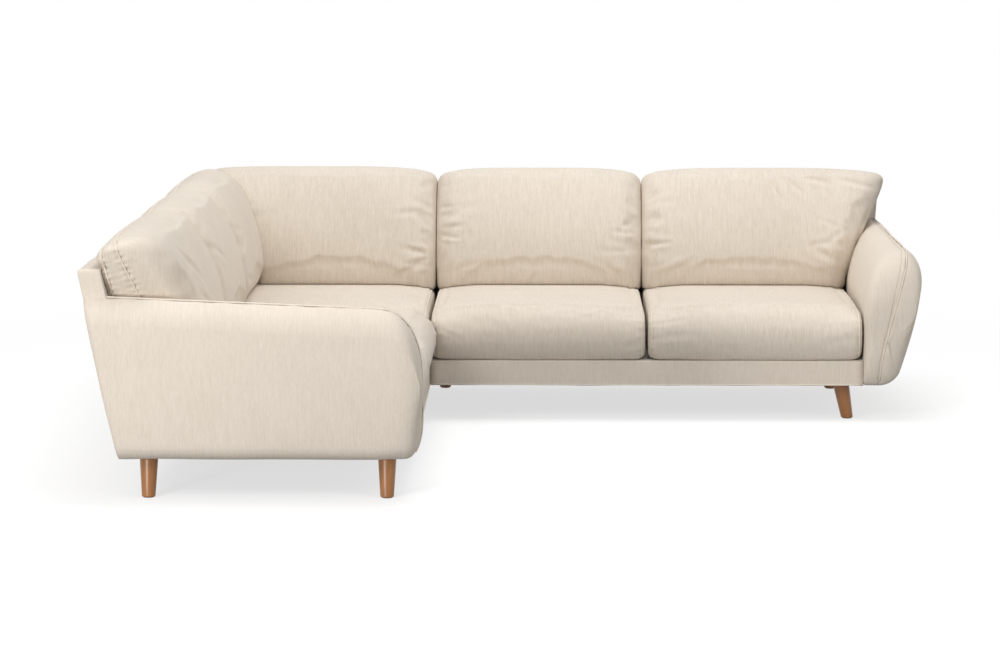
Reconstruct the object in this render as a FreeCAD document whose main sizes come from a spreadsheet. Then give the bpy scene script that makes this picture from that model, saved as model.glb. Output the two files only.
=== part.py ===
import FreeCAD, Part
import Sketcher
import math
import os

# Corner sofa: two straight runs that meet in a square corner, one the mirror image of the other.
# Lengths are millimetres. The origin is on the floor, below the middle of the sofa.
# "Along" runs from the corner towards an arm, "out" from the back towards the seat front, "up" from the floor.

doc = FreeCAD.newDocument("CornerSofa")
sheet = doc.addObject("Spreadsheet::Sheet", "Sizes")

SIZES = (
    ("corner_width", 901.0, "side of the square corner section, and the depth of both runs at the base"),
    ("seat_pitch", 767.0, "width of one seat place"),
    ("leg_height", 126.0, "floor to the underside of the upholstery"),
    ("base_height", 89.0, "underside of the upholstery to the platform that the seat cushions lie on"),
    ("back_rise", 592.0, "underside of the upholstery to the top of the back"),
    ("back_overhang", 116.0, "how far the top of the back stands behind its foot"),
    ("cover_thick", 12.0, "padded cloth on the outside of the back and on the base"),
    ("cover_round", 7.0, "rounding of the padded cloth's long edges"),
    ("frame_thick", 32.0, "timber of the back and of the arms"),
    ("pad_thick", 26.0, "padding on the seat side of the back"),
    ("rail_thick", 25.0, "timber of the front rail"),
    ("beam_thick", 60.0, "timber of the rear rail and of the beam at a joint"),
    ("end_beam_thick", 100.0, "timber of the beam that carries a front leg"),
    ("deck_thick", 9.0, "felt and cloth platform above the webbing"),
    ("web_thick", 3.0, "elastic webbing"),
    ("web_wide", 70.0, "width of one webbing strap"),
    ("dust_thick", 1.5, "dust cover under a section"),
    ("joint_gap", 0.6, "clearance between two sections that are bolted together"),
    ("cutter_spare", 60.0, "how far a cutting tool passes what it cuts"),
    ("arm_foot", 95.0, "width of the arm at its foot"),
    ("arm_rear_rise", 507.0, "underside of the arm to its top at the back"),
    ("arm_front_rise", 473.0, "underside of the arm to its top where its front begins to round"),
    ("arm_past_base", 34.0, "how far the arm's front stands past the base"),
    ("arm_inner_lean", 65.0, "how far the arm's inner face leans away from the seat at its top"),
    ("arm_knee", 25.0, "seat cushion's top to where the arm's inner face begins to lean"),
    ("arm_seam_foot", 70.0, "inner face to the outer seam at the foot"),
    ("arm_seam_rear", 127.0, "inner foot to the outer seam at the top of the back end"),
    ("arm_seam_front", 165.0, "inner foot to the outer seam at the top of the front end"),
    ("arm_bulge", 44.0, "how far the outer panel swells past its seam"),
    ("arm_bow", 10.0, "how far the outer panel's middle bows past its foot and its brow"),
    ("arm_heel", 42.0, "height of the round at the outer panel's foot"),
    ("arm_brow", 12.0, "how far the top comes down to its inner edge"),
    ("arm_shoulder", 88.0, "height of the round at the outer panel's top"),
    ("arm_top_edge", 8.0, "outer seam to where the top's round begins"),
    ("nose_flat", 3.0, "depth of rounding that the flat middle of the arm's front leaves out"),
    ("nose_drop", 230.0, "how far the arm's top comes down at its very front"),
    ("nose_drop_reach", 135.0, "how far behind the front the top begins to come down"),
    ("nose_rise", 150.0, "how far the arm's underside comes up at its very front"),
    ("nose_rise_reach", 60.0, "how far behind the front the underside begins to come up"),
    ("nose_in", 32.0, "how far the inner face rounds in at the very front"),
    ("nose_in_reach", 50.0, "how far behind the front the inner face begins to round"),
    ("nose_out", 62.0, "how far the outer panel rounds in at the very front"),
    ("nose_out_reach", 95.0, "how far behind the front the outer panel begins to round"),
    ("arm_board_in", 32.0, "padding between the arm's inner face and its board"),
    ("arm_board_rise", 364.0, "underside of the arm to the top of its board"),
    ("arm_board_back", 31.0, "base front to the front of the arm's board"),
    ("arm_board_corner", 120.0, "rounded upper front corner of the arm's board"),
    ("leg_top_radius", 29.0, "leg where it meets the base"),
    ("leg_foot_radius", 21.0, "leg on the floor"),
    ("leg_splay", 24.0, "how far an end leg's foot stands further out than its top"),
    ("leg_rear_out", 83.0, "back foot line to the rear legs"),
    ("leg_front_in", 79.0, "base front to the front legs"),
    ("right_leg_in", 49.0, "right arm's inner face to the feet of its legs"),
    ("left_leg_past", 31.0, "left arm's inner face to the feet of its legs, which stand under the arm"),
    ("seat_thick", 188.0, "platform to the seat cushions' top at the back"),
    ("seat_crown", 17.0, "rise of the seat cushions' middle"),
    ("seat_past_base", 29.0, "how far the rounded front of the seat cushions stands past the base"),
    ("seat_nose", 80.0, "depth of the seat cushion's rounded front"),
    ("corner_nose", 30.0, "depth of the corner seat cushion's front edge"),
    ("seat_rear_round", 26.0, "rounding of the seat cushion's upper rear edge"),
    ("seat_rest", 10.0, "flat of the seat cushion that shows in front of a back cushion"),
    ("side_gap", 2.0, "half the clearance between two neighbouring cushions"),
    ("seat_rear_gap", 5.0, "clearance between a seat cushion and the back"),
    ("rest_gap", 0.3, "clearance between a loose cushion and what it rests on"),
    ("seat_edge", 45.0, "how far the sides of a seat cushion round in"),
    ("seat_edge_drop", 20.0, "how far the seat cushion's top comes down at its sides"),
    ("seat_edge_rise", 14.0, "how far the seat cushion's underside comes up at its sides"),
    ("seat_edge_in", 18.0, "how far the seat cushion's front draws back at its sides"),
    ("back_front_low", 232.0, "out to the foot of a back cushion's front"),
    ("back_front_belly", 257.0, "out to the fullest part of a back cushion's front"),
    ("back_belly_up", 62.0, "seat cushion's top to the fullest part of a back cushion's front"),
    ("back_front_top", 128.0, "out to the top of a back cushion's front"),
    ("back_cushion_rise", 425.0, "seat cushions' top to the top of the back cushions"),
    ("back_brow", 28.0, "how far the rounded upper front edge of a back cushion comes down"),
    ("back_edge", 110.0, "how far the sides of a back cushion round in"),
    ("back_edge_in", 75.0, "how far the cushion's front draws back at its sides"),
    ("back_edge_drop", 26.0, "how far the back cushion's top comes down at its sides"),
    ("back_edge_rise", 12.0, "how far the back cushion's underside comes up at its sides"),
    ("back_flare", 0.34, "sideways lean of the back cushion's end above the arm"),
    ("flare_gap", 10.0, "clearance of the leaning end from the arm at its foot"),
    ("mitre_gap", 2.0, "clearance of a cushion from the mitre between the two runs"),
)


class Length:
    """A length with its value and the expression of the sheet that gives it."""

    def __init__(self, value, text):
        self.value = value
        self.text = text

    def joined(self, other, sign, value):
        text = other.text if isinstance(other, Length) else repr(float(other))
        return Length(value, "(" + self.text + " " + sign + " " + text + ")")

    def __float__(self):
        return float(self.value)

    def __add__(self, other):
        return self.joined(other, "+", self.value + float(other))

    def __sub__(self, other):
        return self.joined(other, "-", self.value - float(other))

    def __mul__(self, other):
        return self.joined(other, "*", self.value * float(other))

    def __truediv__(self, other):
        return self.joined(other, "/", self.value / float(other))

    def __neg__(self):
        return self * -1.0


def read_sizes():
    """Fill the sheet and return its sizes by name."""
    sizes = {}
    for row, (name, number, meaning) in enumerate(SIZES, start=1):
        sheet.set("A%d" % row, name)
        sheet.set("B%d" % row, str(number))
        sheet.set("C%d" % row, meaning)
        sheet.setAlias("B%d" % row, name)
    doc.recompute()
    for name, number, meaning in SIZES:
        sizes[name] = Length(float(sheet.get(name)), "Sizes." + name)
    return sizes


S = read_sizes()

ARM_START = S["corner_width"] + S["seat_pitch"] * 2
ARM_REACH = ARM_START + S["arm_seam_front"] + S["arm_bulge"]
CENTRE = (ARM_REACH - S["back_overhang"]) / 2
LEAN = S["back_overhang"] / S["back_rise"]
BASE_TOP = S["leg_height"] + S["base_height"]
BACK_TOP = S["leg_height"] + S["back_rise"]
SEAT_TOP = BASE_TOP + S["seat_thick"]
ARM_FRONT = S["corner_width"] + S["arm_past_base"]
SEAT_FRONT = S["corner_width"] + S["seat_past_base"]
BOARD_FRONT = S["cover_thick"] + S["frame_thick"]
BACK_THICK = BOARD_FRONT + S["pad_thick"]
RAIL_LOW = S["leg_height"] + S["dust_thick"]
RAIL_TOP = BASE_TOP - S["deck_thick"] - S["web_thick"]
BASE_FRONT = S["corner_width"] - S["cover_thick"]
CORNER_END = S["corner_width"] - S["joint_gap"] / 2
RUN_START = S["corner_width"] + S["joint_gap"] / 2
REAR_BEAM_FRONT = BOARD_FRONT + S["beam_thick"]

exported = []


def keep(piece, label):
    """Name a finished piece and list it for export."""
    piece.Label = label
    exported.append(piece)
    return piece


def bind(piece, **lengths):
    """Bind properties of a piece to the sheet."""
    for name, length in lengths.items():
        piece.setExpression(name.replace("__", "."), length.text)


def place(piece, along, out, up):
    """Bind a piece's place on the right run to the sheet."""
    bind(piece, Placement__Base__x=along - CENTRE, Placement__Base__y=CENTRE - out, Placement__Base__z=up)


def block(label, along, out, up):
    """A plain box of the right run between pairs of lengths."""
    box = doc.addObject("Part::Box", label)
    bind(box, Length=along[1] - along[0], Width=out[1] - out[0], Height=up[1] - up[0])
    place(box, along[0], out[1], up[0])
    return box


def origin_plane(body, role):
    """The named plane of a body's own origin."""
    for feature in body.Origin.OriginFeatures:
        if feature.Role == role:
            return feature
    raise ValueError(role)


def outline(body, label, corners):
    """A closed sketch across the run, with its corners given as out and up lengths."""
    sketch = body.newObject("Sketcher::SketchObject", label + "_outline")
    sketch.AttachmentSupport = (origin_plane(body, "YZ_Plane"), [""])
    sketch.MapMode = "FlatFace"
    points = [FreeCAD.Vector(-float(out), float(up), 0) for out, up in corners]
    for number, point in enumerate(points):
        following = points[(number + 1) % len(points)]
        sketch.addGeometry(Part.LineSegment(point, following), False)
    for number in range(len(points)):
        following = (number + 1) % len(points)
        sketch.addConstraint(Sketcher.Constraint("Coincident", number, 2, following, 1))
    for number, (out, up) in enumerate(corners):
        across = sketch.addConstraint(
            Sketcher.Constraint("DistanceX", -1, 1, number, 1, -float(out)))
        upward = sketch.addConstraint(
            Sketcher.Constraint("DistanceY", -1, 1, number, 1, float(up)))
        sketch.setExpression("Constraints[%d]" % across, (-out).text)
        sketch.setExpression("Constraints[%d]" % upward, up.text)
    return sketch


def profile(label, along, corners):
    """A body that carries one outline along the run between two lengths."""
    body = doc.addObject("PartDesign::Body", label)
    sketch = outline(body, label, corners)
    pad = body.newObject("PartDesign::Pad", label + "_pad")
    pad.Profile = sketch
    bind(pad, Length=along[1] - along[0])
    bind(body, Placement__Base__x=along[0] - CENTRE, Placement__Base__y=CENTRE)
    return body


def mirrored(piece, label):
    """The left run's twin of a piece of the right run."""
    twin = doc.addObject("Part::Mirroring", label)
    twin.Source = piece
    twin.Normal = FreeCAD.Vector(1, 1, 0)
    twin.Base = FreeCAD.Vector(0, 0, 0)
    return keep(twin, label)


def both(piece, label):
    """Keep a piece as the right run's, with its twin on the left run."""
    keep(piece, "right_" + label)
    mirrored(piece, "left_" + label)


def cut(base, tool, label):
    """One piece less another."""
    result = doc.addObject("Part::Cut", label)
    result.Base = base
    result.Tool = tool
    return result


def leaning(out, up):
    """A point that stands out from the back's outer face, at a height."""
    return (out - LEAN * (up - S["leg_height"]), up)


def nothing():
    """A length of zero that still belongs to the sheet."""
    return S["cover_thick"] * 0


def half_space(label, gap):
    """Everything on the left run's side of the diagonal, and a gap more."""
    reach = 2 * float(ARM_REACH)
    box = doc.addObject("Part::Box", label)
    bind(box, Length=ARM_REACH * 4, Width=ARM_REACH * 2, Height=ARM_REACH * 2)
    turn = FreeCAD.Placement(FreeCAD.Vector(0, 0, 0), FreeCAD.Rotation(FreeCAD.Vector(0, 0, 1), -45))
    shift = FreeCAD.Placement(FreeCAD.Vector(-reach, float(gap) - reach, -reach / 2), FreeCAD.Rotation())
    box.Placement = turn * shift
    return box


def point(along, out, up):
    """A point of the right run in the sofa's own frame."""
    return FreeCAD.Vector(along - float(CENTRE), float(CENTRE) - out, up)


def ring(at, start, *steps):
    """A closed wire from a start: each step is an end for a line, or a middle and an end for an arc."""
    edges = []
    here = at(*start)
    for step in steps + ((start,),):
        ahead = [at(*spot) for spot in step]
        if len(ahead) == 1:
            edges.append(Part.LineSegment(here, ahead[0]).toShape())
        else:
            edges.append(Part.Arc(here, ahead[0], ahead[1]).toShape())
        here = ahead[-1]
    return Part.Wire(edges)


def bend(start, heading, end):
    """An arc that leaves a point along a heading: its middle and its end, as a step of a ring."""
    size = math.hypot(*heading)
    ahead = (heading[0] / size, heading[1] / size)
    chord = (end[0] - start[0], end[1] - start[1])
    span = math.hypot(*chord)
    straight = (chord[0] / span, chord[1] / span)
    along = ahead[0] * straight[0] + ahead[1] * straight[1]
    push = span / 2 / (1 + along)
    middle = [(start[i] + end[i]) / 2 + (ahead[i] - along * straight[i]) * push for i in (0, 1)]
    return (tuple(middle), end)


def arriving(start, heading, end):
    """An arc that reaches its end from the opposite of a heading: the bend taken backwards."""
    middle, _ = bend(end, heading, start)
    return (middle, end)


def rounding(distance, reach):
    """How far a rounded end still lies inside, from 1 at its tip to 0 at its reach."""
    fraction = min(max(distance / reach, 0.0), 1.0)
    power = 2.4
    return 1.0 - (1.0 - (1.0 - fraction) ** power) ** (1.0 / power)


def lofted(label, rings):
    """A solid ruled from ring to ring, all with the same number of edges."""
    piece = doc.addObject("Part::Feature", label)
    piece.Shape = Part.makeLoft(rings, True, True)
    return piece


def softened(piece, label, radius, corners):
    """Round the edges of a piece that run along the sofa through the given corners."""
    doc.recompute()
    found = []
    for number, edge in enumerate(piece.Shape.Edges, start=1):
        ends = [vertex.Point for vertex in edge.Vertexes]
        if len(ends) != 2 or abs(ends[0].x - ends[1].x) < float(radius):
            continue
        for out, up in corners:
            spot = FreeCAD.Vector(ends[0].x, float(CENTRE - out), float(up))
            if spot.distanceToPoint(ends[0]) < float(S["rest_gap"]):
                found.append((number, float(radius), float(radius)))
    fillet = doc.addObject("Part::Fillet", label)
    fillet.Base = piece
    fillet.Edges = found
    return fillet


def back_layers(name, along, trim):
    """The board, padding and outer cover of one stretch of the back, trimmed by a tool."""
    cover = S["cover_thick"]
    under_cap = BACK_TOP - cover
    low = S["leg_height"]
    frame = profile(name + "back_frame_stock", along, (
        leaning(cover, low), leaning(BOARD_FRONT, low),
        leaning(BOARD_FRONT, under_cap), leaning(cover, under_cap)))
    both(cut(frame, trim, name + "back_frame"), name + "back_frame")
    pad = profile(name + "back_pad_stock", along, (
        leaning(BOARD_FRONT, BASE_TOP), leaning(BACK_THICK, BASE_TOP),
        leaning(BACK_THICK, under_cap), leaning(BOARD_FRONT, under_cap)))
    both(cut(pad, trim, name + "back_pad"), name + "back_pad")
    outer = profile(name + "back_cover_stock", along, (
        leaning(nothing(), low), leaning(cover, low), leaning(cover, under_cap),
        leaning(BACK_THICK, under_cap), leaning(BACK_THICK, BACK_TOP),
        leaning(nothing(), BACK_TOP)))
    soft = softened(outer, name + "back_cover_soft", S["cover_round"], (
        leaning(BACK_THICK, BACK_TOP), leaning(nothing(), BACK_TOP)))
    both(cut(soft, trim, name + "back_cover"), name + "back_cover")


def rear_beam(label, along):
    """A rear rail whose back face leans against the board."""
    return profile(label, along, (
        (BOARD_FRONT - LEAN * S["dust_thick"], RAIL_LOW), (REAR_BEAM_FRONT, RAIL_LOW),
        (REAR_BEAM_FRONT, RAIL_TOP), leaning(BOARD_FRONT, RAIL_TOP)))


def straps(label, along, out, count):
    """Webbing straps from the rear rail to the front, spread evenly along a section."""
    pieces = []
    pitch = (along[1] - along[0]) / count
    for number in range(count):
        middle = along[0] + pitch * (number + 0.5)
        strap = (middle - S["web_wide"] / 2, middle + S["web_wide"] / 2)
        pieces.append(block(label + "_strap", strap, out, (RAIL_TOP, RAIL_TOP + S["web_thick"])))
    group = doc.addObject("Part::Compound", label)
    group.Links = pieces
    return group


def straight_base():
    """Rails, webbing, platform, border and dust cover of a straight section, on both runs."""
    along = (RUN_START, ARM_START)
    rails = (RAIL_LOW, RAIL_TOP)
    rail_back = BASE_FRONT - S["rail_thick"]
    deck_back = leaning(BOARD_FRONT, RAIL_TOP)[0]
    between = (REAR_BEAM_FRONT, rail_back)
    both(rear_beam("rear_rail", along), "rear_rail")
    both(block("front_rail", along, (rail_back, BASE_FRONT), rails), "front_rail")
    joint = (RUN_START, RUN_START + S["beam_thick"])
    both(block("joint_beam", joint, between, rails), "joint_beam")
    end = (ARM_START - S["end_beam_thick"], ARM_START)
    both(block("end_beam", end, between, rails), "end_beam")
    both(straps("seat_webbing", along, (BOARD_FRONT, BASE_FRONT), 5), "seat_webbing")
    both(block("seat_deck", along, (deck_back, BASE_FRONT), (RAIL_TOP + S["web_thick"], BASE_TOP)),
         "seat_deck")
    both(block("dust_cover", along, (BOARD_FRONT, BASE_FRONT), (S["leg_height"], RAIL_LOW)), "dust_cover")
    front = S["corner_width"]
    border = block("front_border_stock", along, (BASE_FRONT, front), (S["leg_height"], BASE_TOP))
    both(softened(border, "front_border", S["cover_round"], ((front, S["leg_height"]), (front, BASE_TOP))),
         "front_border")


def corner_base(trim):
    """Rails, webbing, platform and dust cover of the square corner section."""
    rails = (RAIL_LOW, RAIL_TOP)
    deck_back = leaning(BOARD_FRONT, RAIL_TOP)[0]
    rear = cut(rear_beam("corner_rear_stock", (nothing(), CORNER_END)), trim, "corner_rear_rail")
    both(rear, "corner_rear_rail")
    side = block("corner_side_stock", (CORNER_END - S["end_beam_thick"], CORNER_END),
                 (REAR_BEAM_FRONT, CORNER_END), rails)
    both(cut(side, trim, "corner_side_beam"), "corner_side_beam")
    square = (BOARD_FRONT, CORNER_END)
    keep(straps("corner_webbing", square, square, 3), "corner_webbing")
    wide = (deck_back, CORNER_END)
    keep(block("corner_deck", wide, wide, (RAIL_TOP + S["web_thick"], BASE_TOP)), "corner_deck")
    keep(block("corner_dust_cover", square, square, (S["leg_height"], RAIL_LOW)), "corner_dust_cover")


def arm_section(out):
    """The corner points of the arm's cross-section at a distance out, as along and up pairs."""
    front = float(ARM_FRONT)
    tip = max(front - out, float(S["nose_flat"]))
    share = out / front
    low = float(S["leg_height"])
    start = float(ARM_START)
    rear_rise = float(S["arm_rear_rise"])
    front_rise = float(S["arm_front_rise"])
    drop = float(S["nose_drop"]) * rounding(tip, float(S["nose_drop_reach"]))
    top = low + rear_rise + (front_rise - rear_rise) * share - drop
    bottom = low + float(S["nose_rise"]) * rounding(tip, float(S["nose_rise_reach"]))
    tall = top - bottom
    inward = float(S["nose_in"]) * rounding(tip, float(S["nose_in_reach"]))
    outward = float(S["nose_out"]) * rounding(tip, float(S["nose_out_reach"]))
    swell = float(S["arm_bulge"])
    seam_rear = float(S["arm_seam_rear"])
    seam = start + seam_rear + (float(S["arm_seam_front"]) - seam_rear) * share
    seam_foot = start + float(S["arm_seam_foot"])
    inside = (start + inward, bottom)
    foot = (seam_foot - outward / 2, bottom)
    heel = (seam_foot + swell * 1.35 - outward, bottom + min(float(S["arm_heel"]), tall / 4))
    side = (seam + swell - outward, top - min(float(S["arm_shoulder"]), tall / 3))
    waist = ((heel[0] + side[0]) / 2 + float(S["arm_bow"]), (heel[1] + side[1]) / 2)
    edge = (seam - outward * 0.6 - float(S["arm_top_edge"]), top)
    above_seat = (top - float(SEAT_TOP)) / (low + rear_rise - float(SEAT_TOP))
    brow_in = max(float(S["arm_inner_lean"]) * above_seat, float(S["arm_brow"]))
    brow = (inside[0] + brow_in, top - float(S["arm_brow"]))
    knee = (inside[0], min(float(SEAT_TOP + S["arm_knee"]), bottom + 0.66 * tall))
    return {"inside": inside, "foot": foot, "heel": heel, "waist": waist, "side": side,
            "edge": edge, "brow": brow, "knee": knee}


def arm_rings(out):
    """The inner padding's ring, the outer panel's ring and a ring beyond the seam that they share."""
    spot = arm_section(out)

    def at(along, up):
        return point(along, out, up)

    def on_seam(share):
        return tuple(spot["foot"][i] + (spot["edge"][i] - spot["foot"][i]) * share for i in (0, 1))

    low = on_seam(-0.2)
    high = on_seam(1.4)
    far = float(ARM_REACH + S["cutter_spare"] * 2)
    inner = ring(at, spot["inside"], (spot["foot"],), (spot["edge"],), (spot["brow"],), (spot["knee"],))
    outer = ring(at, spot["foot"], bend(spot["foot"], (1, 0), spot["heel"]), (spot["waist"], spot["side"]),
                 bend(spot["side"], (0, 1), spot["edge"]))
    beyond = ring(at, low, ((far, low[1]),), ((far, high[1]),), (high,))
    return inner, outer, beyond


def arm_stations():
    """Distances out at which the arm's section is drawn, closer together where its front rounds."""
    front = float(ARM_FRONT)
    nose = float(S["nose_drop_reach"])
    rounded = [front - nose * share for share in (0.0, 0.1, 0.35, 1.0)]
    return rounded + [float(BACK_THICK + S["cutter_spare"]), -float(S["back_overhang"] + S["cutter_spare"])]


def arms():
    """The arm's board, its inner padding that wraps the top and front, and its outer panel."""
    rings = [arm_rings(out) for out in arm_stations()]
    spare = S["cutter_spare"]
    span = (ARM_START - spare, ARM_REACH + spare)
    behind = -S["back_overhang"] - spare * 2
    low = S["leg_height"] - spare
    high = BACK_TOP + spare
    behind_back = profile("behind_back", span, (
        (behind, low), leaning(BACK_THICK, low), leaning(BACK_THICK, high), (behind, high)))
    behind_cover = profile("behind_cover", span, (
        (behind, low), leaning(nothing(), low), leaning(nothing(), high), (behind, high)))
    board_in = ARM_START + S["arm_board_in"]
    board_front = S["corner_width"] - S["arm_board_back"]
    board_top = S["leg_height"] + S["arm_board_rise"]
    corner = S["arm_board_corner"]
    board = profile("arm_frame", (board_in, board_in + S["frame_thick"]), (
        leaning(BACK_THICK, S["leg_height"]), (board_front, S["leg_height"]),
        (board_front, board_top - corner * 0.9), (board_front - corner / 2, board_top - corner / 6),
        (board_front - corner, board_top), leaning(BACK_THICK, board_top)))
    both(board, "arm_frame")
    inner = lofted("arm_inner", [three[0] for three in rings])
    in_front = cut(inner, behind_back, "arm_in_front")
    both(cut(in_front, board, "arm_pad"), "arm_pad")
    outer = lofted("arm_outer", [three[1] for three in rings])
    both(cut(outer, behind_cover, "arm_cover"), "arm_cover")
    return lofted("outside_seam", [three[2] for three in rings[3:]])


def leg(label, foot_along, foot_out, splay, is_left=False):
    """A slim tapered leg from its foot to the base, drawn with many narrow flats."""
    flats = 36
    circles = []
    for along, radius, up in ((foot_along, S["leg_foot_radius"], nothing()),
                              (foot_along - splay, S["leg_top_radius"], S["leg_height"])):
        middle = point(float(along), float(foot_out), float(up))
        if is_left:
            middle = point(float(foot_out), float(along), float(up))
        turns = [2 * math.pi * number / flats for number in range(flats)]
        circles.append([middle + FreeCAD.Vector(math.cos(turn), math.sin(turn), 0) * float(radius)
                        for turn in turns])
    foot, top = circles
    faces = [Part.Face(Part.makePolygon(circle + circle[:1])) for circle in circles]
    for number in range(flats):
        side = [foot[number - 1], foot[number], top[number], top[number - 1]]
        faces.append(Part.Face(Part.makePolygon(side + side[:1])))
    body = doc.addObject("Part::Feature", label)
    body.Shape = Part.makeSolid(Part.makeShell(faces))
    return keep(body, label)


def legs():
    """Two legs at each arm, one behind each joint and two under the corner."""
    splay = S["leg_splay"]
    front = S["corner_width"] - S["leg_front_in"]
    rear = S["leg_rear_out"]
    joint = RUN_START + S["beam_thick"] / 2
    for side, foot in (("right", ARM_START - S["right_leg_in"]), ("left", ARM_START + S["left_leg_past"])):
        is_left = side == "left"
        leg(side + "_front_leg", foot, front, splay, is_left)
        leg(side + "_rear_leg", foot, rear, splay, is_left)
        leg(side + "_joint_leg", joint, rear, nothing(), is_left)
    leg("corner_rear_leg", rear, rear, nothing())
    leg("corner_inner_leg", front, front, nothing())


def stations(start, end, reach, shares, middle_spans, rounded_start=True):
    """Places along a cushion, each with how far it still lies inside the full section."""
    places = []
    first = start
    if rounded_start:
        places = [(start + reach * share, rounding(share, 1.0)) for share in shares[:-1]]
        first = start + reach
    span = (end - reach - first) / middle_spans
    places += [(first + span * number, 0.0) for number in range(middle_spans)]
    return places + [(end - reach * share, rounding(share, 1.0)) for share in reversed(shares)]


def seat_ring(along, inset, crown, rear, front, nose):
    """A seat cushion's section: flat below and behind, crowned on top, with a rounded front."""
    low = float(BASE_TOP + S["rest_gap"]) + float(S["seat_edge_rise"]) * inset
    top = float(SEAT_TOP) - float(S["seat_edge_drop"]) * inset
    rear_round = float(S["seat_rear_round"])
    back = rear + rear_round * 0.4 * inset
    widest = (front - float(S["seat_edge_in"]) * inset, low + (top - low) * 0.46)
    under = (widest[0] - 0.45 * nose, low)
    brow = (widest[0] - nose, top + crown * 0.35)
    flat = (float(S["back_front_belly"] + S["seat_rest"]), top)
    middle = ((brow[0] + flat[0]) / 2, top + crown)

    def at(out, up):
        return point(along, out, up)

    return ring(
        at, (back, low), (under,),
        arriving(under, (0, -1), widest),
        bend(widest, (0, 1), brow),
        (middle, flat),
        ((back + rear_round * 0.85, top),),
        bend((back + rear_round * 0.85, top), (-1, 0), (back, top - rear_round)))


def seat_cushion(label, start, end, front, nose, corner=False):
    """A loose seat cushion between two places along the run."""
    rear = float(leaning(BACK_THICK, BASE_TOP)[0] + S["seat_rear_gap"])
    first = rear if corner else float(start + S["side_gap"])
    last = float(end - S["side_gap"])
    flat = float(S["back_front_belly"] + S["seat_rest"])
    start_of_crown = flat if corner else first

    def crown(along):
        share = min(max((along - start_of_crown) / (last - start_of_crown), 0.0), 1.0)
        return float(S["seat_crown"]) * max(4 * share * (1 - share), 0.01)

    edge = float(S["seat_edge"])
    places = stations(first, last, edge, (0.0, 0.25, 1.0), 3)
    if corner:
        places = [place for place in places if abs(place[0] - flat) > edge]
        places = sorted(places + [(flat, 0.0)])
    return lofted(label, [seat_ring(along, inset, crown(along), rear, front, nose)
                          for along, inset in places])


def back_ring(along, inset, tilt):
    """A back cushion's section: it stands on the seat, leans on the back and has a full front."""
    foot = float(SEAT_TOP + S["rest_gap"])
    low = foot + float(S["back_edge_rise"]) * inset
    top = foot + float(S["back_cushion_rise"]) - float(S["back_edge_drop"]) * inset
    drawn = float(S["back_edge_in"]) * inset

    def on_back(up):
        leaned = float(leaning(BACK_THICK, nothing() + up)[0])
        return leaned + float(S["rest_gap"]) + float(S["seat_rear_gap"]) * inset

    under = (float(S["back_front_low"]) - drawn, low)
    belly = (float(S["back_front_belly"]) - drawn, low + float(S["back_belly_up"]))
    brow = (float(S["back_front_top"]) - drawn, top - float(S["back_brow"]))
    rear_drop = (brow[0] - on_back(top)) * 0.47
    shoulder = (on_back(top - rear_drop), top - rear_drop)
    crest = (shoulder[0] + (brow[0] - shoulder[0]) * 0.58, top)

    def at(out, up):
        return point(along + tilt * (up - foot), out, up)

    return ring(
        at, (on_back(low), low), (under,),
        arriving(under, (0, -1), belly),
        bend(belly, (0, 1), brow),
        (crest, shoulder))


def back_cushion(label, start, end, square_start=False, flare=False):
    """A loose back cushion between two places along the run."""
    first = float(start) if square_start else float(start + S["side_gap"])
    last = float(end - (S["flare_gap"] if flare else S["side_gap"]))
    reach = float(S["back_edge"])

    def tilt(along):
        return float(S["back_flare"]) if flare and along > last - 1.5 * reach else 0.0

    places = stations(first, last, reach, (0.0, 0.15, 0.5, 1.0), 1, not square_start)
    return lofted(label, [back_ring(along, inset, tilt(along)) for along, inset in places])


def cushions():
    """Five loose seat cushions and six loose back cushions."""
    corner = S["corner_width"]
    middle = corner + S["seat_pitch"]
    front = float(SEAT_FRONT)
    nose = float(S["seat_nose"])
    corner_front = float(corner - S["side_gap"])
    keep(seat_cushion("corner_seat_cushion", nothing(), corner, corner_front, float(S["corner_nose"]), True),
         "corner_seat_cushion")
    mitre = half_space("cushion_mitre", S["mitre_gap"])
    inner_seat = seat_cushion("inner_seat_stock", corner, middle, front, nose)
    both(cut(inner_seat, mitre, "inner_seat_cushion"), "inner_seat_cushion")
    both(seat_cushion("outer_seat_cushion", middle, ARM_START, front, nose), "outer_seat_cushion")
    past_corner = -S["back_overhang"] - S["cutter_spare"]
    long_corner = back_cushion("corner_back_stock", past_corner, corner, square_start=True)
    both(cut(long_corner, mitre, "corner_back_cushion"), "corner_back_cushion")
    both(back_cushion("inner_back_cushion", corner, middle), "inner_back_cushion")
    both(back_cushion("outer_back_cushion", middle, ARM_START, flare=True), "outer_back_cushion")


def check_document():
    """Stop when an object failed or a sub-part is not one valid shape."""
    for item in doc.Objects:
        if "Invalid" in item.State or "Error" in item.State:
            raise RuntimeError(item.Label + " failed")
    for piece in exported:
        if piece.Shape.isNull() or not piece.Shape.isValid():
            raise RuntimeError(piece.Label + " has no valid shape")


def write_parts():
    """Write each sub-part under its own name."""
    os.makedirs("parts", exist_ok=True)
    for piece in exported:
        piece.Shape.exportStep("parts/" + piece.Label + ".step")


seam = arms()
diagonal = half_space("diagonal", nothing())
straight_base()
corner_base(diagonal)
spare = S["cutter_spare"]
back_layers("", (RUN_START, ARM_REACH + spare), seam)
back_layers("corner_", (-S["back_overhang"] - spare, CORNER_END), diagonal)
legs()
cushions()
doc.recompute()
check_document()
write_parts()
print(len(exported), "sub-parts")
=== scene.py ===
# %% [markdown]
# # A corner sofa, dressed in cloth
# The construction of this sofa comes ready made as a fixed frame: boards, rails, webbing, padding
# and cushions, each a node on a body that can move. This file puts the cloth on it. Every piece is
# made in metres in the frame's own axes, so nothing has to be fitted by eye afterwards.

# %% Load the fixed frame
import math

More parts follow.
